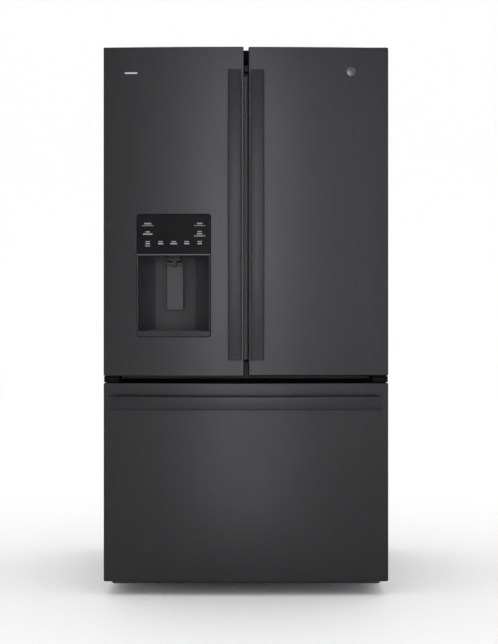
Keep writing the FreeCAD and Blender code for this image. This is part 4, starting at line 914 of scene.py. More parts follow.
def handle(name, node, body, along):
    """A bowed bar along an axis, with a post near each end."""
    low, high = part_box(node)
    mesh = bmesh.new()
    bowed_bar(mesh, low, high, along)
    across = 0 if along == 2 else 2
    middle = (low + high) / 2
    for end, way in ((low, 1), (high, -1)):
        near = end[along] + POST_INSET * way
        far = near + POST_LENGTH * way
        start, stop = Vector(), Vector()
        start[along], stop[along] = sorted((near, far))
        start[across] = middle[across] - POST_WIDTH / 2
        stop[across] = middle[across] + POST_WIDTH / 2
        start.y = low.y + HANDLE_BOW + HANDLE_THICKNESS / 2
        stop.y = front_at(abs(start.x) if along == 2 else (start.x + stop.x) / 2) + 1 * MM
        round_block(mesh, start, stop, 5 * MM)
    bmesh.ops.recalc_face_normals(mesh, faces=mesh.faces)
    piece = to_piece(name, mesh, body, "handle_steel")
    soften(piece, 1.4 * MM, 3)
    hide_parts(node)


class FRIDGE_OT_handles(bpy.types.Operator):
    """Make the three bowed handles with their posts"""

    bl_idname = "fridge.handles"
    bl_label = "Handles"

    def execute(self, context):
        handle("left_handle_bar", "left_handle", "left_door", 2)
        handle("right_handle_bar", "right_handle", "right_door", 2)
        handle("drawer_handle_bar", "freezer_handle", "freezer_drawer", 0)
        return {"FINISHED"}


# ---- dispenser -----------------------------------------------------------------------------

WELL_FLOOR = 843.5 * MM
WELL_CEILING = 1084 * MM
WELL_MIDDLE = (WELL_LOW.x + WELL_HIGH.x) / 2


PLATE = 14 * MM  # depth of the dispenser's face plates


def faceplate(name, slot, low_z, high_z, rounded, sunk=0.0):
    """A plate across the dispenser on the door's convex front, with some corners rounded."""
    mesh = bmesh.new()
    low = (WELL_LOW.x, FRONT_APEX + sunk, low_z)
    high = (WELL_HIGH.x, FRONT_APEX + sunk + PLATE, high_z)
    verts = block(mesh, low, high)
    middle = (low_z + high_z) / 2
    sides = {"top": lambda z: z > middle, "bottom": lambda z: z < middle, "none": lambda z: False}
    wanted = sides[rounded]
    corners = edges_where(verts, lambda way, place: abs(way.y) > 0.9 and wanted(place.z))
    if corners:
        round_off(mesh, corners, CORNER)
    slice_across(mesh, WELL_LOW.x, WELL_HIGH.x, 12)
    bow(mesh.verts)
    piece = to_piece(name, mesh, "left_door", slot)
    soften(piece, 0.9 * MM, 3)
    return piece


def word_of_dashes(mesh, centre, width, height):
    """Short strokes in a row, where a caption would be."""
    stroke, gap = 1.9 * MM, 0.9 * MM
    count = max(1, round(width / (stroke + gap)))
    start = centre.x - (count * (stroke + gap) - gap) / 2
    for number in range(count):
        left = start + number * (stroke + gap)
        low = (left, centre.y, centre.z - height / 2)
        high = (left + stroke, centre.y + 0.8 * MM, centre.z + height / 2)
        round_block(mesh, low, high, 0.3 * MM, 2)


UNDERLINE = 1.5  # rows lower than this, in millimetres, are underlines


def panel_marks():
    """Captions of the touch controls: rows of strokes, with an underline under the two titles.
    Each row holds its column, its height over the panel's middle, its width and its own height
    in millimetres."""
    step = 41.4 * MM
    centre = (PANEL_LOW + PANEL_HIGH) / 2
    y = FRONT_APEX - 0.25 * MM
    rows = [
        (-2, 33.7, 21, 4.6), (-2, 27.0, 38, 1.2), (2, 33.7, 18, 4.6), (2, 27.0, 35, 1.2),
        (-2, 7.5, 13, 3.4), (-2, 0.3, 32, 4.2), (2, 8.0, 14, 3.4), (2, 1.0, 17, 3.4),
        (2, -5.7, 37, 2.6), (-2, -37.5, 17, 2.4),
    ]
    rows += [(column, -23.8, 14, 3.2) for column in range(-2, 3)]
    rows += [(column - 2, -30.2, width, 4.2) for column, width in enumerate((15, 16, 23, 18, 14))]
    mesh = bmesh.new()
    for column, rise, width, height in rows:
        place = Vector((centre.x + column * step, y, centre.z + rise * MM))
        if height < UNDERLINE:
            low = (place.x - width * MM / 2, place.y, place.z - height * MM / 2)
            high = (place.x + width * MM / 2, place.y + 0.8 * MM, place.z + height * MM / 2)
            round_block(mesh, low, high, 0.3 * MM, 2)
        else:
            word_of_dashes(mesh, place, width * MM, height * MM)
    bow(mesh.verts)
    to_piece("panel_marks", mesh, "left_door", "black_gloss", printed_mark())


def well_details():
    """Spout with its chute and nozzle, two lamps beside it, and the slotted tray on the well's
    floor."""
    low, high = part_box("dispenser_spout")
    middle, nozzle_y = (low.x + high.x) / 2, low.y + 11 * MM
    housing_low = WELL_CEILING - 15 * MM
    head_low = (low.x + 8 * MM, low.y, housing_low + 9 * MM)
    head_high = (high.x - 8 * MM, high.y, WELL_CEILING + MM)
    spout = boxed(
        "dispenser_spout_head", [(head_low, head_high, 3 * MM)], "left_door", "black_plastic"
    )
    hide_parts("dispenser_spout")
    mesh = bmesh.new()
    round_block(
        mesh,
        (low.x + 6 * MM, low.y + 2 * MM, housing_low),
        (high.x - 6 * MM, high.y, housing_low + 9 * MM),
        2 * MM,
    )
    profile = [(0, 0), (3.2, 0), (4.6, 1), (5, 4), (0, 4)]
    foot = Vector((middle, nozzle_y, low.z))
    turned(mesh, profile, foot, Z_AXIS, 24)
    to_piece("spout_chute", mesh, "left_door", "black_plastic")
    mesh = bmesh.new()
    profile = [(0, 3.5), (5, 3.5), (5.6, 5), (5.6, 15), (7.5, 17), (7.5, 22), (0, 22)]
    turned(mesh, profile, foot, Z_AXIS, 24)
    to_piece("water_nozzle", mesh, "left_door", "grey_plastic", lever_plastic())
    mesh = bmesh.new()
    for side in (-1, 1):
        centre = Vector((middle + side * 43 * MM, low.y + 20 * MM, WELL_CEILING - 4.5 * MM))
        profile = [(0, 0), (5.5, 0), (7.5, 1.5), (8.5, 5), (0, 5)]
        turned(mesh, profile, centre, Z_AXIS, 24)
    to_piece("dispenser_lamps", mesh, "left_door", "black_plastic")
    left, right = WELL_MIDDLE - 84 * MM, WELL_MIDDLE + 84 * MM
    near, far = FRONT_APEX + 8 * MM, FRONT_APEX + 62 * MM
    floor = WELL_FLOOR - 1 * MM
    bars, wide = 25, 3.2 * MM
    slats = [
        ((left, y, floor), (right, y + 5 * MM, floor + 3 * MM), 1 * MM, 2)
        for y in (near, far - 5 * MM)
    ]
    for number in range(bars):
        x = left + (right - left - wide) * number / (bars - 1)
        low, high = (x, near + 2 * MM, floor), (x + wide, far - 2 * MM, floor + 2.6 * MM)
        slats.append((low, high, 0.9 * MM, 2))
    boxed("drip_tray", slats, "left_door", "grey_plastic")


def dispenser_lever():
    """Paddle: a thin tray-shaped plate with upright ribs, hung on its shaft. Its top stands a
    little above the shaft."""
    low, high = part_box("dispenser_paddle")
    middle, half = (low.x + high.x) / 2, 25.5 * MM
    front, rear = low.y + 1 * MM, high.y - 1 * MM
    mesh = bmesh.new()
    top = high.z + 5.5 * MM
    verts = block(mesh, (middle - half, front, low.z), (middle + half, rear, top))
    round_off(mesh, edges_where(verts, lambda way, place: abs(way.y) > 0.9), 4 * MM)
    face = min(mesh.faces, key=lambda f: f.calc_center_median().y)
    bmesh.ops.inset_region(mesh, faces=[face], thickness=2.6 * MM, use_even_offset=True)
    flat = (f for f in mesh.faces if abs(f.normal.y) > 0.9)
    face = min(flat, key=lambda f: f.calc_center_median().y)
    bmesh.ops.translate(mesh, verts=list(face.verts), vec=(0, 0.9 * MM, 0))
    for number in range(7):
        x = middle + (number - 3) * 6 * MM
        round_block(
            mesh,
            (x - 0.8 * MM, front + 0.2 * MM, low.z + 12 * MM),
            (x + 0.8 * MM, front + 1.4 * MM, high.z - 34 * MM),
            0.5 * MM,
            2,
        )
    piece = to_piece("dispenser_lever", mesh, "paddle", "grey_plastic", lever_plastic())
    soften(piece, 0.5 * MM, 2)
    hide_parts("dispenser_paddle")
    mesh = bmesh.new()
    centre = Vector((low.x, (low.y + high.y) / 2, high.z - 3 * MM))
    length = (high.x - low.x) / MM
    turned(mesh, [(0, 0), (3, 0), (3, length), (0, length)], centre, X_AXIS, 20)
    soften(to_piece("lever_shaft", mesh, "paddle", "black_plastic"), 0.4 * MM, 2)


class FRIDGE_OT_dispenser(bpy.types.Operator):
    """Make the dispenser: well, panel and its marks, trim, spout, tray and paddle"""

    bl_idname = "fridge.dispenser"
    bl_label = "Dispenser"

    def execute(self, context):
        refined("dispenser_well", "left_door", "grey_plastic", 0.8 * MM)
        panel = faceplate(
            "touch_panel", "black_gloss", PANEL_LOW.z + 0.3 * MM, PANEL_HIGH.z, "top"
        )
        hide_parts("control_panel")
        for name, low, high, rounded, coat in (
            ("well_sill", WELL_LOW.z, WELL_FLOOR, "bottom", trim_paint()),
            ("well_header", WELL_CEILING, PANEL_LOW.z, "none", header_metal()),
        ):
            trim = faceplate(name, "grey_plastic", low, high, rounded, -0.2 * MM)
            trim.data.materials[0] = coat
        panel_marks()
        well_details()
        dispenser_lever()
        return {"FINISHED"}


# ---- badge and name bar --------------------------------------------------------------------


class FRIDGE_OT_badges(bpy.types.Operator):
    """Make a plain disc on the right door and a plain bar on the left one"""

    bl_idname = "fridge.badges"
    bl_label = "Plain badges"

    def execute(self, context):
        across, height = 334 * MM, RIGHT_HIGH.z - 78 * MM
        lean = across / FRONT_RADIUS
        out = Vector((math.sin(lean), -math.cos(lean), 0))
        place = Vector((across, front_at(across) + 0.4 * MM, height))
        profile = [
            (0, 0), (15.5, 0), (15.5, 1.2), (14.9, 1.8), (14.0, 1.8), (13.4, 1.3),
            (12, 1.6), (9, 2.1), (6, 2.4), (3, 2.6), (0, 2.65),
        ]
        mesh = bmesh.new()
        turned(mesh, profile, place, out, 48)
        disc = to_piece("plain_badge", mesh, "right_door", "handle_steel", badge_metal())
        soften(disc, 0.15 * MM, 2)
        mesh = bmesh.new()
        middle = Vector((-366 * MM, FRONT_APEX, SKIN_HIGH.z - 82.5 * MM))
        half = Vector((20 * MM, 0, 2.6 * MM))
        round_block(mesh, middle - half - Y_AXIS * MM, middle + half + Y_AXIS * MM, 0.9 * MM)
        bow(mesh.verts)
        to_piece("plain_bar", mesh, "left_door", "handle_steel", printed_mark())
        return {"FINISHED"}


# ---- case ----------------------------------------------------------------------------------

CASE_EDGE = 3 * MM
FLANGE = 48 * MM  # width of the sheet folded in round the front
BREAKER = 9 * MM  # width of the strips between liner and flange
MACHINE_ROOM = 200 * MM  # where the closed underside ends


def screws(name, places, way, body, radius=4.5):
    """Pan head screws with a cross slot, facing along way."""
    mesh = bmesh.new()
    for place in places:
        place = Vector(place)
        profile = [(0, -2.4), (radius, -2.4), (radius, -1.0), (radius * 0.8, -0.2), (0, 0)]
        turned(mesh, profile, place, way, 16)
    to_piece(name, mesh, body, "galvanized_steel")


class FRIDGE_OT_case(bpy.types.Operator):
    """Make the outer case, its rear panel, hinge covers, feet and trim"""

    bl_idname = "fridge.case"
    bl_label = "Case"

    def execute(self, context):
        self.shell()
        self.rear()
        refined("hinge_covers", "cabinet", "grey_plastic", 3 * MM, 4, 2)
        refined("base_grille", "cabinet", "black_plastic", 0.8 * MM, 2)
        refined("compressor_cover", "cabinet", "galvanized_steel", 0.3 * MM, 1, 1)
        refined("top_hinges", "cabinet", "galvanized_steel", 0.6 * MM, 2)
        for node, width, coat in (
            # middle hinges: flat black painted shade for the shadow of the gap they sit in
            ("middle_hinges", 0.8 * MM, painted_gap_shade()),
            ("front_rails", 0.3 * MM, material_for("black_plastic")),
        ):
            refined(node, "cabinet", "case_paint", width, 2).data.materials[0] = coat
        refined("base_frame", "cabinet", "galvanized_steel", 0.5 * MM, 2)
        low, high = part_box("hinge_covers")
        spots = [(side * (high.x - 27 * MM), high.y - 30 * MM, high.z) for side in (-1, 1)]
        screws("hinge_cover_screws", spots, Z_AXIS, "cabinet")
        low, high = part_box("cabinet_foam")
        near, far = (low.x + MM, low.y + MM, low.z - MM), (high.x - MM, MACHINE_ROOM, low.z)
        boxed("bottom_sheet", [(near, far, 0.3 * MM, 1)], "cabinet", "galvanized_steel")
        self.feet()
        self.breakers()
        self.gap_trims()
        return {"FINISHED"}

    def breakers(self):
        """Black strips round both openings, which hide the foam between liner and flange."""
        near, far = CASE_LOW.y - 1.2 * MM, CASE_LOW.y + 1 * MM
        strips = []
        for low, high in ((LINER_LOW, LINER_HIGH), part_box("freezer_liner")):
            inner = high.x - BREAKER / 3
            outer = inner + BREAKER
            bottom, top = low.z + BREAKER / 3, high.z - BREAKER / 3
            strips += [
                ((-outer, near, bottom - BREAKER), (-inner, far, top + BREAKER), 0.5 * MM, 2),
                ((inner, near, bottom - BREAKER), (outer, far, top + BREAKER), 0.5 * MM, 2),
                ((-outer, near, bottom - BREAKER), (outer, far, bottom), 0.5 * MM, 2),
                ((-outer, near, top), (outer, far, top + BREAKER), 0.5 * MM, 2),
            ]
        boxed("breaker_strips", strips, "cabinet", "black_plastic")

    def gap_trims(self):
        """Black trims that close the view through the gaps between the doors and the drawer,
        finished in flat black as painted shade for the deep shadow in those gaps.
        """
        front, top = CASE_LOW.y, CASE_HIGH.z
        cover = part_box("hinge_covers")[1].x - 86 * MM
        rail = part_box("middle_hinges")[0].z
        for name, low, high, radius in (
            (
                "case_top_trim",
                (-cover, front + 0.5 * MM, top - 0.5 * MM),
                (cover, front + 24 * MM, top + 8 * MM),
                (2 * MM,),
            ),
            (
                "centre_cap",
                (-7 * MM, front - 4 * MM, LINER_HIGH.z + 6 * MM),
                (7 * MM, front + 1 * MM, top + 8 * MM),
                (1 * MM, 2),
            ),
            (
                "divider_trim",
                (-402 * MM, front - 2 * MM, rail - 6 * MM),
                (402 * MM, front + 0.5 * MM, rail + 8 * MM),
                (0.6 * MM, 2),
            ),
        ):
            # flat black finish: painted shade for the shadow inside the gaps
            boxed(name, [(low, high, *radius)], "cabinet", "black_plastic", painted_gap_shade())

    def shell(self):
        """One sheet folded over the sides and the top, with a flange round the front."""
        mesh = bmesh.new()
        low, high = Vector(CASE_LOW), Vector(CASE_HIGH)
        block(mesh, low, high)
        away = [f for f in mesh.faces if f.normal.z < -0.9 or f.normal.y > 0.9]
        bmesh.ops.delete(mesh, geom=away, context="FACES_ONLY")
        front = next(f for f in mesh.faces if f.normal.y < -0.9)
        fold = edges_where(
            mesh.verts, lambda way, place: abs(way.y) > 0.9 and place.z > high.z - MM
        )
        rim = [e for e in front.edges if (e.verts[0].co + e.verts[1].co).z / 2 > low.z + MM]
        round_off(mesh, fold + rim, CASE_EDGE)
        front = max((f for f in mesh.faces if f.normal.y < -0.99), key=lambda f: f.calc_area())
        bmesh.ops.inset_region(mesh, faces=[front], thickness=FLANGE, use_even_offset=True)
        front = max((f for f in mesh.faces if f.normal.y < -0.99), key=lambda f: f.calc_area())
        for v in front.verts:
            if v.co.z < low.z + 60 * MM:
                v.co.z = low.z + 0.5 * MM
        bmesh.ops.delete(mesh, geom=[front], context="FACES")
        piece = to_piece("case_shell", mesh, "cabinet", "case_paint")
        wall = piece.modifiers.new("sheet", "SOLIDIFY")
        wall.thickness = 1 * MM
        wall.offset = -1
        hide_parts("cabinet_wrapper")

    def rear(self):
        """Rear sheet with shallow stiffening ribs, its edge screws, and the inlets."""
        low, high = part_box("rear_panel")
        refined("rear_panel", "cabinet", "galvanized_steel", 0.1 * MM, 1, 1)
        refined("rear_inlets", "cabinet", "black_plastic", 0.8 * MM, 3)
        spots = []
        for number in range(7):
            z = low.z + 40 * MM + (high.z - low.z - 80 * MM) * number / 6
            spots += [(side * (high.x - 14 * MM), high.y, z) for side in (-1, 1)]
        ends = (low.z + 18 * MM, high.z - 14 * MM)
        spots += [(x * MM, high.y, z) for x in (-280, 0, 280) for z in ends]
        cover_low, cover_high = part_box("compressor_cover")
        spots += [
            (x * MM, high.y, z)
            for x in (-430, -150, 150, 430)
            for z in (cover_low.z + 12 * MM, cover_high.z - 12 * MM)
        ]
        screws("rear_screws", spots, Y_AXIS, "cabinet", 4)

    def feet(self):
        """Leveling feet with a skirt and thread, and the rear rollers with a tyre each."""
        for side, word in ((-1, "left"), (1, "right")):
            low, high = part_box(f"leveling_leg_{word}")
            centre = Vector(((low.x + high.x) / 2, (low.y + high.y) / 2, 0))
            profile = [(0, 0), (18, 0), (20, 2), (20, 6), (16, 9), (9, 10), (9, 15)]
            thread = [(5 if step % 2 else 4.3, 16 + step * 1.5) for step in range(29)]
            profile += thread + [(0, thread[-1][1])]
            mesh = bmesh.new()
            turned(mesh, profile, centre, Z_AXIS, 24)
            piece = to_piece(f"leveling_foot_{word}", mesh, f"{word}_leg", "black_plastic")
            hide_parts(f"leveling_leg_{word}")
        low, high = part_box("rear_rollers")
        centre = Vector((0, (low.y + high.y) / 2, (low.z + high.z) / 2))
        mesh = bmesh.new()
        for side in (-1, 1):
            profile = [
                (0, 419), (12, 419), (13, 421), (18, 421), (21, 423),
                (21, 440), (18, 442), (13, 442), (12, 444), (0, 444),
            ]
            turned(mesh, profile, centre, X_AXIS * side, 32)
        reach = high.x / MM
        turned(mesh, [(0, -reach), (4, -reach), (4, reach), (0, reach)], centre, X_AXIS, 16)
        piece = to_piece("rear_roller_set", mesh, "rollers", "black_plastic")
        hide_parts("rear_rollers")


# ---- compartments --------------------------------------------------------------------------

LINER = 2 * MM
COVE = 14 * MM


def moulded_shell(name, outline, half, node):
    """A vacuum formed liner: the outline, in YZ, drawn across and rounded; its front is open."""
    mesh = bmesh.new()
    left = [mesh.verts.new((-half, y, z)) for y, z in outline]
    side = mesh.faces.new(left)
    made = bmesh.ops.extrude_face_region(mesh, geom=[side])["geom"]
    bmesh.ops.translate(mesh, verts=verts_in(made), vec=(2 * half, 0, 0))
    bmesh.ops.recalc_face_normals(mesh, faces=mesh.faces)
    front = min(y for y, z in outline)
    mouth = [f for f in mesh.faces if f.normal.y < -0.9 and f.calc_center_median().y < front + MM]
    bmesh.ops.delete(mesh, geom=mouth, context="FACES_ONLY")
    inner = [e for e in mesh.edges if len(e.link_faces) == 2]
    round_off(mesh, inner, COVE)
    bmesh.ops.reverse_faces(mesh, faces=mesh.faces)
    piece = to_piece(name, mesh, "cabinet", "white_liner")
    wall = piece.modifiers.new("wall", "SOLIDIFY")
    wall.thickness = LINER
    wall.offset = -1
    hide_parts(node)


class FRIDGE_OT_compartments(bpy.types.Operator):
    """Make the liners, shelves, ducts, lamps and the filter"""

    bl_idname = "fridge.compartments"
    bl_label = "Compartments"

    def execute(self, context):
        low, high = LINER_LOW, LINER_HIGH
        outline = [
            (low.y, low.z + LINER), (low.y, high.z - LINER),
            (high.y - LINER, high.z - LINER), (high.y - LINER, low.z + LINER),
        ]
        half = high.x - LINER
        moulded_shell("fresh_food_lining", outline, half, "fresh_food_liner")
        low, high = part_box("freezer_liner")
        step_y, step_z = 180 * MM, 300 * MM
        outline = [
            (low.y, low.z + LINER), (low.y, high.z - LINER), (high.y - LINER, high.z - LINER),
            (high.y - LINER, step_z), (step_y, step_z), (step_y, low.z + LINER),
        ]
        moulded_shell("freezer_lining", outline, half, "freezer_liner")
        refine_all((
            ("air_duct_cover", "cabinet", "white_liner", 3, 3),
            ("evaporator_cover", "cabinet", "white_liner", 0.8, 2),
            ("shelf_tracks", "cabinet", "galvanized_steel", 1, 2),
            ("shelf_frames", "cabinet", "white_liner", 2, 3),
            ("glass_shelves", "cabinet", "shelf_glass", 0.8, 2),
            ("mullion_guide", "cabinet", "black_plastic", 3, 3),
            ("filter_housing", "cabinet", "white_liner", 3, 3),
            ("freezer_rails", "cabinet", "galvanized_steel", 0.8, 2),
            ("slide_members", "middle_slides", "galvanized_steel", 0.8, 2),
        ))
        self.track_slot_shades()
        self.shelf_trims()
        self.lamps()
        self.filter()
        return {"FINISHED"}

    def track_slot_shades(self):
        """Painted shade for the slots up the shelf tracks: flat black patches on the track face
        where the shadow inside each slot would be, at a pitch of 25 mm.
        """
        low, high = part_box("shelf_tracks")
        slots = []
        for x in (-147 * MM, 147 * MM, -379 * MM, 379 * MM):
            z = low.z + 12 * MM
            while z < high.z - 16 * MM:
                near, far = (x - 2 * MM, low.y - 0.2 * MM, z), (x + 2 * MM, low.y + MM, z + 11 * MM)
                slots.append((near, far, 0.3 * MM, 1))
                z += 25 * MM
        # black patches over the track face: painted shade for the slot openings
        boxed("track_slot_shades", slots, "cabinet", "black_plastic")

    def shelf_trims(self):
        """Rounded trims along the front edges of the shelves."""
        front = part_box("shelf_frames")[0].y
        trims = []
        for left, right, base, top in (
            (-397, -7, 1206, 1225),
            (7, 397, 1206, 1225),
            (-397, -7, 1431, 1450),
            (7, 397, 1431, 1450),
            (-397, 397, 968, 986),
        ):
            low = (left * MM, front - 1 * MM, base * MM)
            trims.append((low, (right * MM, front + 9 * MM, top * MM), 3 * MM))
        boxed("shelf_trims", trims, "cabinet", "grey_plastic", trim_metal())

    def lamps(self):
        """Frosted lenses: one across the ceiling, one up each side, and one in the freezer."""
        lenses = []
        side = LINER_HIGH.x - LINER
        for left, right in ((-side, 5 * MM - side), (side - 5 * MM, side)):
            lenses.append(((left, -215 * MM, 1040 * MM), (right, -190 * MM, 1600 * MM), 2 * MM))
        for node, half, near, far in (
            ("fresh_food_liner", 150 * MM, -190 * MM, -150 * MM),
            ("freezer_liner", 90 * MM, -230 * MM, -200 * MM),
        ):
            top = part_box(node)[1].z - LINER
            lenses.append(((-half, near, top - 5 * MM), (half, far, top + MM), 2 * MM))
        boxed("lamp_lenses", lenses, "cabinet", "white_liner", lamp_lens())

    def filter(self):
        """Water filter: a capped cartridge with a raised grip across its end."""
        low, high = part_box("water_filter")
        centre = Vector(((low.x + high.x) / 2, low.y, (low.z + high.z) / 2))
        mesh = bmesh.new()
        profile = [
            (0, 14), (20, 14), (25.5, 16), (27, 19), (27, 26), (26, 27),
            (26, 30), (27, 31), (27, 214), (24, 220), (0, 220),
        ]
        turned(mesh, profile, centre, Y_AXIS, 40)
        half = Vector((21.6 * MM, 0, 5.4 * MM))
        round_block(mesh, centre - half, centre + half + Y_AXIS * 18 * MM, 2.6 * MM)
        piece = to_piece("filter_cartridge", mesh, "filter", "white_liner")
        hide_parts("water_filter")


# ---- bins, crispers and baskets ------------------------------------------------------------


def moulded_tray(mesh, low, high, radius, taper=0.0):
    """Add an open tray's outer skin, with rounded corners and sides that lean in downwards."""
    verts = block(mesh, low, high)
    for v in verts:
        if v.co.z < (low[2] + high[2]) / 2:
            v.co.x += math.copysign(taper, (low[0] + high[0]) / 2 - v.co.x)
    faces = unique(f for v in verts for f in v.link_faces)
    lid = max(faces, key=lambda f: f.calc_center_median().z)
    bmesh.ops.delete(mesh, geom=[lid], context="FACES_ONLY")
    edges = unique(e for v in verts for e in v.link_edges)
    inner = [e for e in edges if len(e.link_faces) == 2]
    round_off(mesh, inner, radius)


def tray_piece(name, trays, radius, wall, body, node, taper):
    """Open trays of clear plastic with a wall and a rounded rim."""
    mesh = bmesh.new()
    for low, high in trays:
        moulded_tray(mesh, low, high, radius, taper)
    piece = to_piece(name, mesh, body, "clear_plastic")
    solid = piece.modifiers.new("wall", "SOLIDIFY")
    solid.thickness = wall
    solid.offset = -1
    rim = piece.modifiers.new("rounded_rim", "BEVEL")
    rim.width = wall * 0.3
    rim.segments = 2
    rim.limit_method = "ANGLE"
    rim.angle_limit = math.radians(50)
    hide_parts(node)
    return piece


def islands_of(node):
    """The box of each separate part of a CAD node, lowest first."""
    mesh = bmesh.new()
    mesh.from_mesh(frame["nodes"][node].data)
    bmesh.ops.remove_doubles(mesh, verts=mesh.verts, dist=0.01 * MM)
    left, boxes = set(mesh.verts), []
    while left:
        island, front = set(), [left.pop()]
        while front:
            v = front.pop()
            island.add(v)
            for near in (e.other_vert(v) for e in v.link_edges):
                if near in left:
                    left.discard(near)
                    front.append(near)
        low = [min(v.co[axis] for v in island) for axis in range(3)]
        high = [max(v.co[axis] for v in island) for axis in range(3)]
        boxes.append((low, high))
    mesh.free()
    return sorted(boxes, key=lambda box: (box[0][2], box[0][0]))


class FRIDGE_OT_containers(bpy.types.Operator):
    """Make the door bins, crispers and freezer baskets"""

    bl_idname = "fridge.containers"
    bl_label = "Bins and baskets"

    def execute(self, context):
        for side in ("left", "right"):
            node, door = f"{side}_door_bins", f"{side}_door"
            boxes = islands_of(node)
            tray_piece(f"{side}_door_trays", boxes, 12 * MM, 2.6 * MM, door, node, 4 * MM)
            trims = [
                (
                    (low[0] - 1 * MM, high[1] - 3 * MM, high[2] - 17 * MM),
                    (high[0] + 1 * MM, high[1] + 2 * MM, high[2] + 1 * MM),
                    2 * MM,
                )
                for low, high in boxes
            ]
            boxed(f"{side}_bin_trims", trims, door, "grey_plastic", trim_metal())
        for side in ("left", "right"):
            self.crisper(side)
        for node, body, radius in (
            ("lower_basket", "freezer_drawer", 22 * MM),
            ("upper_basket", "top_basket", 16 * MM),
        ):
            low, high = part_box(node)
            tray_piece(f"{node}_tray", [(low, high)], radius, 3 * MM, body, node, 6 * MM)
            trim = (
                (low.x, low.y - 1 * MM, high.z - 20 * MM),
                (high.x, low.y + 5 * MM, high.z + 1 * MM),
                2.4 * MM,
            )
            boxed(f"{node}_trim", [trim], body, "grey_plastic", trim_metal())
        return {"FINISHED"}

    def crisper(self, side):
        """Crisper with a frosted front and a lip to pull it by."""
        node, body = f"crisper_{side}", f"{side}_crisper"
        low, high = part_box(node)
        front = low.y + 8 * MM
        inside = (low.x, front + 8 * MM, low.z)
        tray_piece(
            f"{side}_crisper_tray", [(inside, (*high,))], 14 * MM, 3 * MM, body, node, 6 * MM
        )
        lip_low = (low.x + 48 * MM, low.y, high.z - 14 * MM)
        plates = [
            ((low.x, front, low.z), (high.x, front + 12 * MM, high.z), 4 * MM),
            (lip_low, (high.x - 48 * MM, front + 6 * MM, high.z), 4 * MM),
        ]
        boxed(f"{side}_crisper_front", plates, body, "clear_plastic", frosted_polystyrene())


# ---- inner side of the doors and the drawer ------------------------------------------------


DOOR_RIM = 12 * MM  # steel that folds round behind the door's edges


def well_pocket():
    """What the dispenser's well takes out of the door's inner sheet."""
    mesh = bmesh.new()
    low = (WELL_LOW.x - 2 * MM, SKIN_LOW.y, WELL_LOW.z - 2 * MM)
    high = (WELL_HIGH.x + 2 * MM, WELL_HIGH.y + 1 * MM, PANEL_HIGH.z + 2 * MM)
    block(mesh, low, high)
    return cutter_of(mesh)


def ribbed_liner(name, node, body, ridges, pocketed=False):
    """A door's inner sheet with its upright ridges, all with moulded edges."""
    low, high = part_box(node)
    rim = Vector((DOOR_RIM, 0, DOOR_RIM))
    plate_low, plate_high = low + rim, high - rim
    plate_high.y = low.y + LINER
    mesh = bmesh.new()
    round_block(mesh, plate_low, plate_high, 0.8 * MM, 2)
    sheet = to_piece(name, mesh, body, "white_liner")
    if pocketed:
        carve(sheet, well_pocket())
    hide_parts(node)
    moulded = [(*ridge, 7 * MM) for ridge in ridges]
    boxed(f"{name}_ridges", moulded, body, "white_liner")


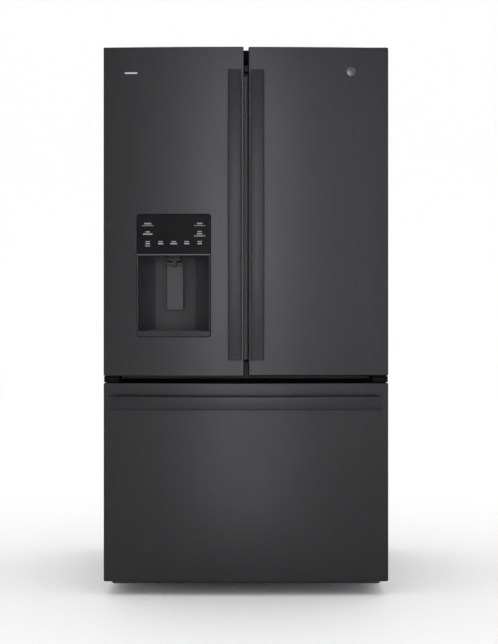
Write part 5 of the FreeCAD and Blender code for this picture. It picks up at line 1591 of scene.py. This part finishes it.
class FRIDGE_OT_door_insides(bpy.types.Operator):
    """Make the door liners, seals, ice box and folding bar"""

    bl_idname = "fridge.door_insides"
    bl_label = "Inner sides of the doors"

    def execute(self, context):
        base = LINER_LOW.y - 14 * MM
        deep = base + 52 * MM
        bottom, top = SKIN_LOW.z + 46 * MM, SKIN_HIGH.z - 50 * MM
        outer, width = 396 * MM, 28 * MM

        def ridge(left, low_z=bottom, high_z=top):
            return ((left, base, low_z), (left + width, deep, high_z))

        lugs = [
            ((-66 * MM, base, z), (-50 * MM, -266 * MM, z + 9 * MM))
            for z in (739.5 * MM, 1673.5 * MM)
        ]
        ribbed_liner(
            "left_door_lining", "left_door_liner", "left_door",
            [ridge(-outer), ridge(-78 * MM - width)],
            True,
        )
        mesh = bmesh.new()
        round_block(mesh, (-366 * MM, base, 806 * MM), (-108 * MM, -258 * MM, 1236 * MM), 7 * MM)
        piece = to_piece("dispenser_housing", mesh, "left_door", "white_liner")
        carve(piece, well_pocket())
        mesh = bmesh.new()
        for low, high in lugs:
            round_block(mesh, low, high, 2 * MM)
        to_piece("mullion_lugs", mesh, "left_door", "white_liner")
        ribbed_liner(
            "right_door_lining", "right_door_liner", "right_door",
            [ridge(50 * MM), ridge(outer - width)],
        )
        low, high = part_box("drawer_liner")
        pad = (low + Vector((65, 2, 61)) * MM, high - Vector((65, 0, 45)) * MM)
        ribbed_liner("drawer_lining", "drawer_liner", "freezer_drawer", [pad])
        refined("drawer_rails", "freezer_drawer", "galvanized_steel", 0.8 * MM, 2)
        for node, body in (
            ("left_door_gasket", "left_door"),
            ("right_door_gasket", "right_door"),
            ("drawer_gasket", "freezer_drawer"),
        ):
            self.seal(node, body)
        bar = refined("mullion_bar", "folding_mullion", "black_plastic", 1.6 * MM)
        bar.data.materials[0] = bar_plastic()
        mesh = bmesh.new()
        seal_low, seal_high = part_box("right_door_gasket")
        round_block(
            mesh,
            (3.7 * MM, seal_low.y + 1 * MM, seal_low.z + 40 * MM),
            (seal_low.x + 1 * MM, seal_high.y - 1 * MM, 1673 * MM),
            1 * MM,
            2,
        )
        to_piece("seal_fin", mesh, "right_door", "seal_rubber", bar_plastic())
        self.ice_box()
        return {"FINISHED"}

    def seal(self, node, body):
        """Magnetic seal: a fat tube against the case and a thin lip on its inner side."""
        low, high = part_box(node)
        wide, lip = 16 * MM, 5 * MM
        mesh = bmesh.new()
        for left, right, bottom, top in (
            (low.x, high.x, low.z, low.z + wide),
            (low.x, high.x, high.z - wide, high.z),
            (low.x, low.x + wide, low.z, high.z),
            (high.x - wide, high.x, low.z, high.z),
        ):
            depth = high.y - 0.2 * MM
            root = low.y - LINER
            round_block(mesh, (left, root, bottom), (right, low.y + 5 * MM, top), 1.5 * MM, 3)
            round_block(
                mesh,
                (left + lip / 2, low.y + 3 * MM, bottom + lip / 2),
                (right - lip / 2, depth, top - lip / 2),
                3.4 * MM,
                4,
            )
        piece = to_piece(f"{node}_profile", mesh, body, "seal_rubber")
        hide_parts(node)

    def ice_box(self):
        """Ice maker's box with a raised door, its grip and a row of vents."""
        low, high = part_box("ice_box")
        mesh = bmesh.new()
        round_block(mesh, (low.x, low.y + 50 * MM, low.z), high - Y_AXIS * 3 * MM, 12 * MM, 5)
        neck_low = (low.x + 24 * MM, low.y, low.z)
        neck_high = (high.x - 24 * MM, low.y + 60 * MM, high.z)
        round_block(mesh, neck_low, neck_high, 4 * MM)
        inset = Vector((22, 0, 26)) * MM
        round_block(
            mesh, Vector((low.x, high.y - 12 * MM, low.z)) + inset, high - inset, 3 * MM
        )
        piece = to_piece("ice_maker_box", mesh, "left_door", "white_liner")
        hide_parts("ice_box")
        middle = (low.x + high.x) / 2
        vents = []
        for number in range(9):
            z = high.z - 70 * MM - number * 9 * MM
            vent_low = (middle - 50 * MM, high.y - MM, z)
            vents.append((vent_low, (middle + 50 * MM, high.y + 0.4 * MM, z + 4 * MM), 0.6 * MM, 2))
        grip_low = (middle - 34 * MM, high.y - MM, low.z + 60 * MM)
        vents.append((grip_low, (middle + 34 * MM, high.y + 6 * MM, low.z + 78 * MM), 3 * MM))
        boxed("ice_box_vents", vents, "left_door", "grey_plastic")


# ---- machine room and cold side ------------------------------------------------------------


class FRIDGE_OT_machinery(bpy.types.Operator):
    """Make the compressor, the coils and the fans"""

    bl_idname = "fridge.machinery"
    bl_label = "Machinery"

    def execute(self, context):
        refine_all((
            ("condenser_coil", "cabinet", "coil_metal", 0.2, 1),
            ("evaporator_coil", "cabinet", "coil_metal", 0.2, 1),
            ("fan_bracket", "cabinet", "black_plastic", 0.8, 2),
            ("condenser_fan", "machine_fan", "black_plastic", 0.6, 2),
            ("evaporator_fan", "cold_fan", "grey_plastic", 0.6, 2),
        ))
        low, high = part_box("compressor")
        centre = Vector(((low.x + high.x) / 2, (low.y + high.y) / 2, low.z))
        mesh = bmesh.new()
        profile = [
            (0, 11), (56, 11), (68, 18), (72, 30), (72, 78), (75, 79), (75, 85),
            (72, 86), (72, 132), (66, 148), (50, 160), (28, 166), (0, 167),
        ]
        turned(mesh, profile, centre, Z_AXIS, 48)
        plate_low, plate_high = low + Z_AXIS * 8 * MM, (high.x, high.y, low.z + 11 * MM)
        round_block(mesh, plate_low, plate_high, 1.2 * MM, 2)
        for x in (low.x + 20 * MM, high.x - 20 * MM):
            for y in (low.y + 20 * MM, high.y - 20 * MM):
                foot = Vector((x, y, low.z))
                grommet = [(0, 0), (11, 0), (11, 3), (8, 4.5), (11, 6), (11, 9), (6, 13), (0, 13)]
                turned(mesh, grommet, foot, Z_AXIS, 20)
        round_block(
            mesh,
            (centre.x - 32 * MM, centre.y - 88 * MM, low.z + 50 * MM),
            (centre.x + 32 * MM, centre.y - 60 * MM, low.z + 110 * MM),
            5 * MM,
        )
        piece = to_piece("compressor_pot", mesh, "cabinet", "compressor_enamel")
        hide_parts("compressor")
        return {"FINISHED"}


# ---- panel and registration ----------------------------------------------------------------

OPERATORS = (
    FRIDGE_OT_stage,
    FRIDGE_OT_finishes,
    FRIDGE_OT_fronts,
    FRIDGE_OT_handles,
    FRIDGE_OT_dispenser,
    FRIDGE_OT_badges,
    FRIDGE_OT_case,
    FRIDGE_OT_compartments,
    FRIDGE_OT_containers,
    FRIDGE_OT_door_insides,
    FRIDGE_OT_machinery,
)


class FRIDGE_PT_panel(bpy.types.Panel):
    """Sidebar panel with one button for each group of pieces"""

    bl_idname = "FRIDGE_PT_panel"
    bl_label = "Refrigerator"
    bl_space_type = "VIEW_3D"
    bl_region_type = "UI"
    bl_category = "Refrigerator"

    def draw(self, context):
        for operator in OPERATORS:
            self.layout.operator(operator.bl_idname)


CLASSES = (StageSettings, FinishSettings, *OPERATORS, FRIDGE_PT_panel)


def register():
    for item in CLASSES:
        bpy.utils.register_class(item)
    bpy.types.Scene.fridge_stage = bpy.props.PointerProperty(type=StageSettings)
    bpy.types.Scene.fridge_finish = bpy.props.PointerProperty(type=FinishSettings)


def unregister():
    del bpy.types.Scene.fridge_finish
    del bpy.types.Scene.fridge_stage
    for item in reversed(CLASSES):
        bpy.utils.unregister_class(item)


def main():
    register()
    for operator in OPERATORS:
        group, name = operator.bl_idname.split(".")
        getattr(getattr(bpy.ops, group), name)()


if __name__ == "__main__":
    main()
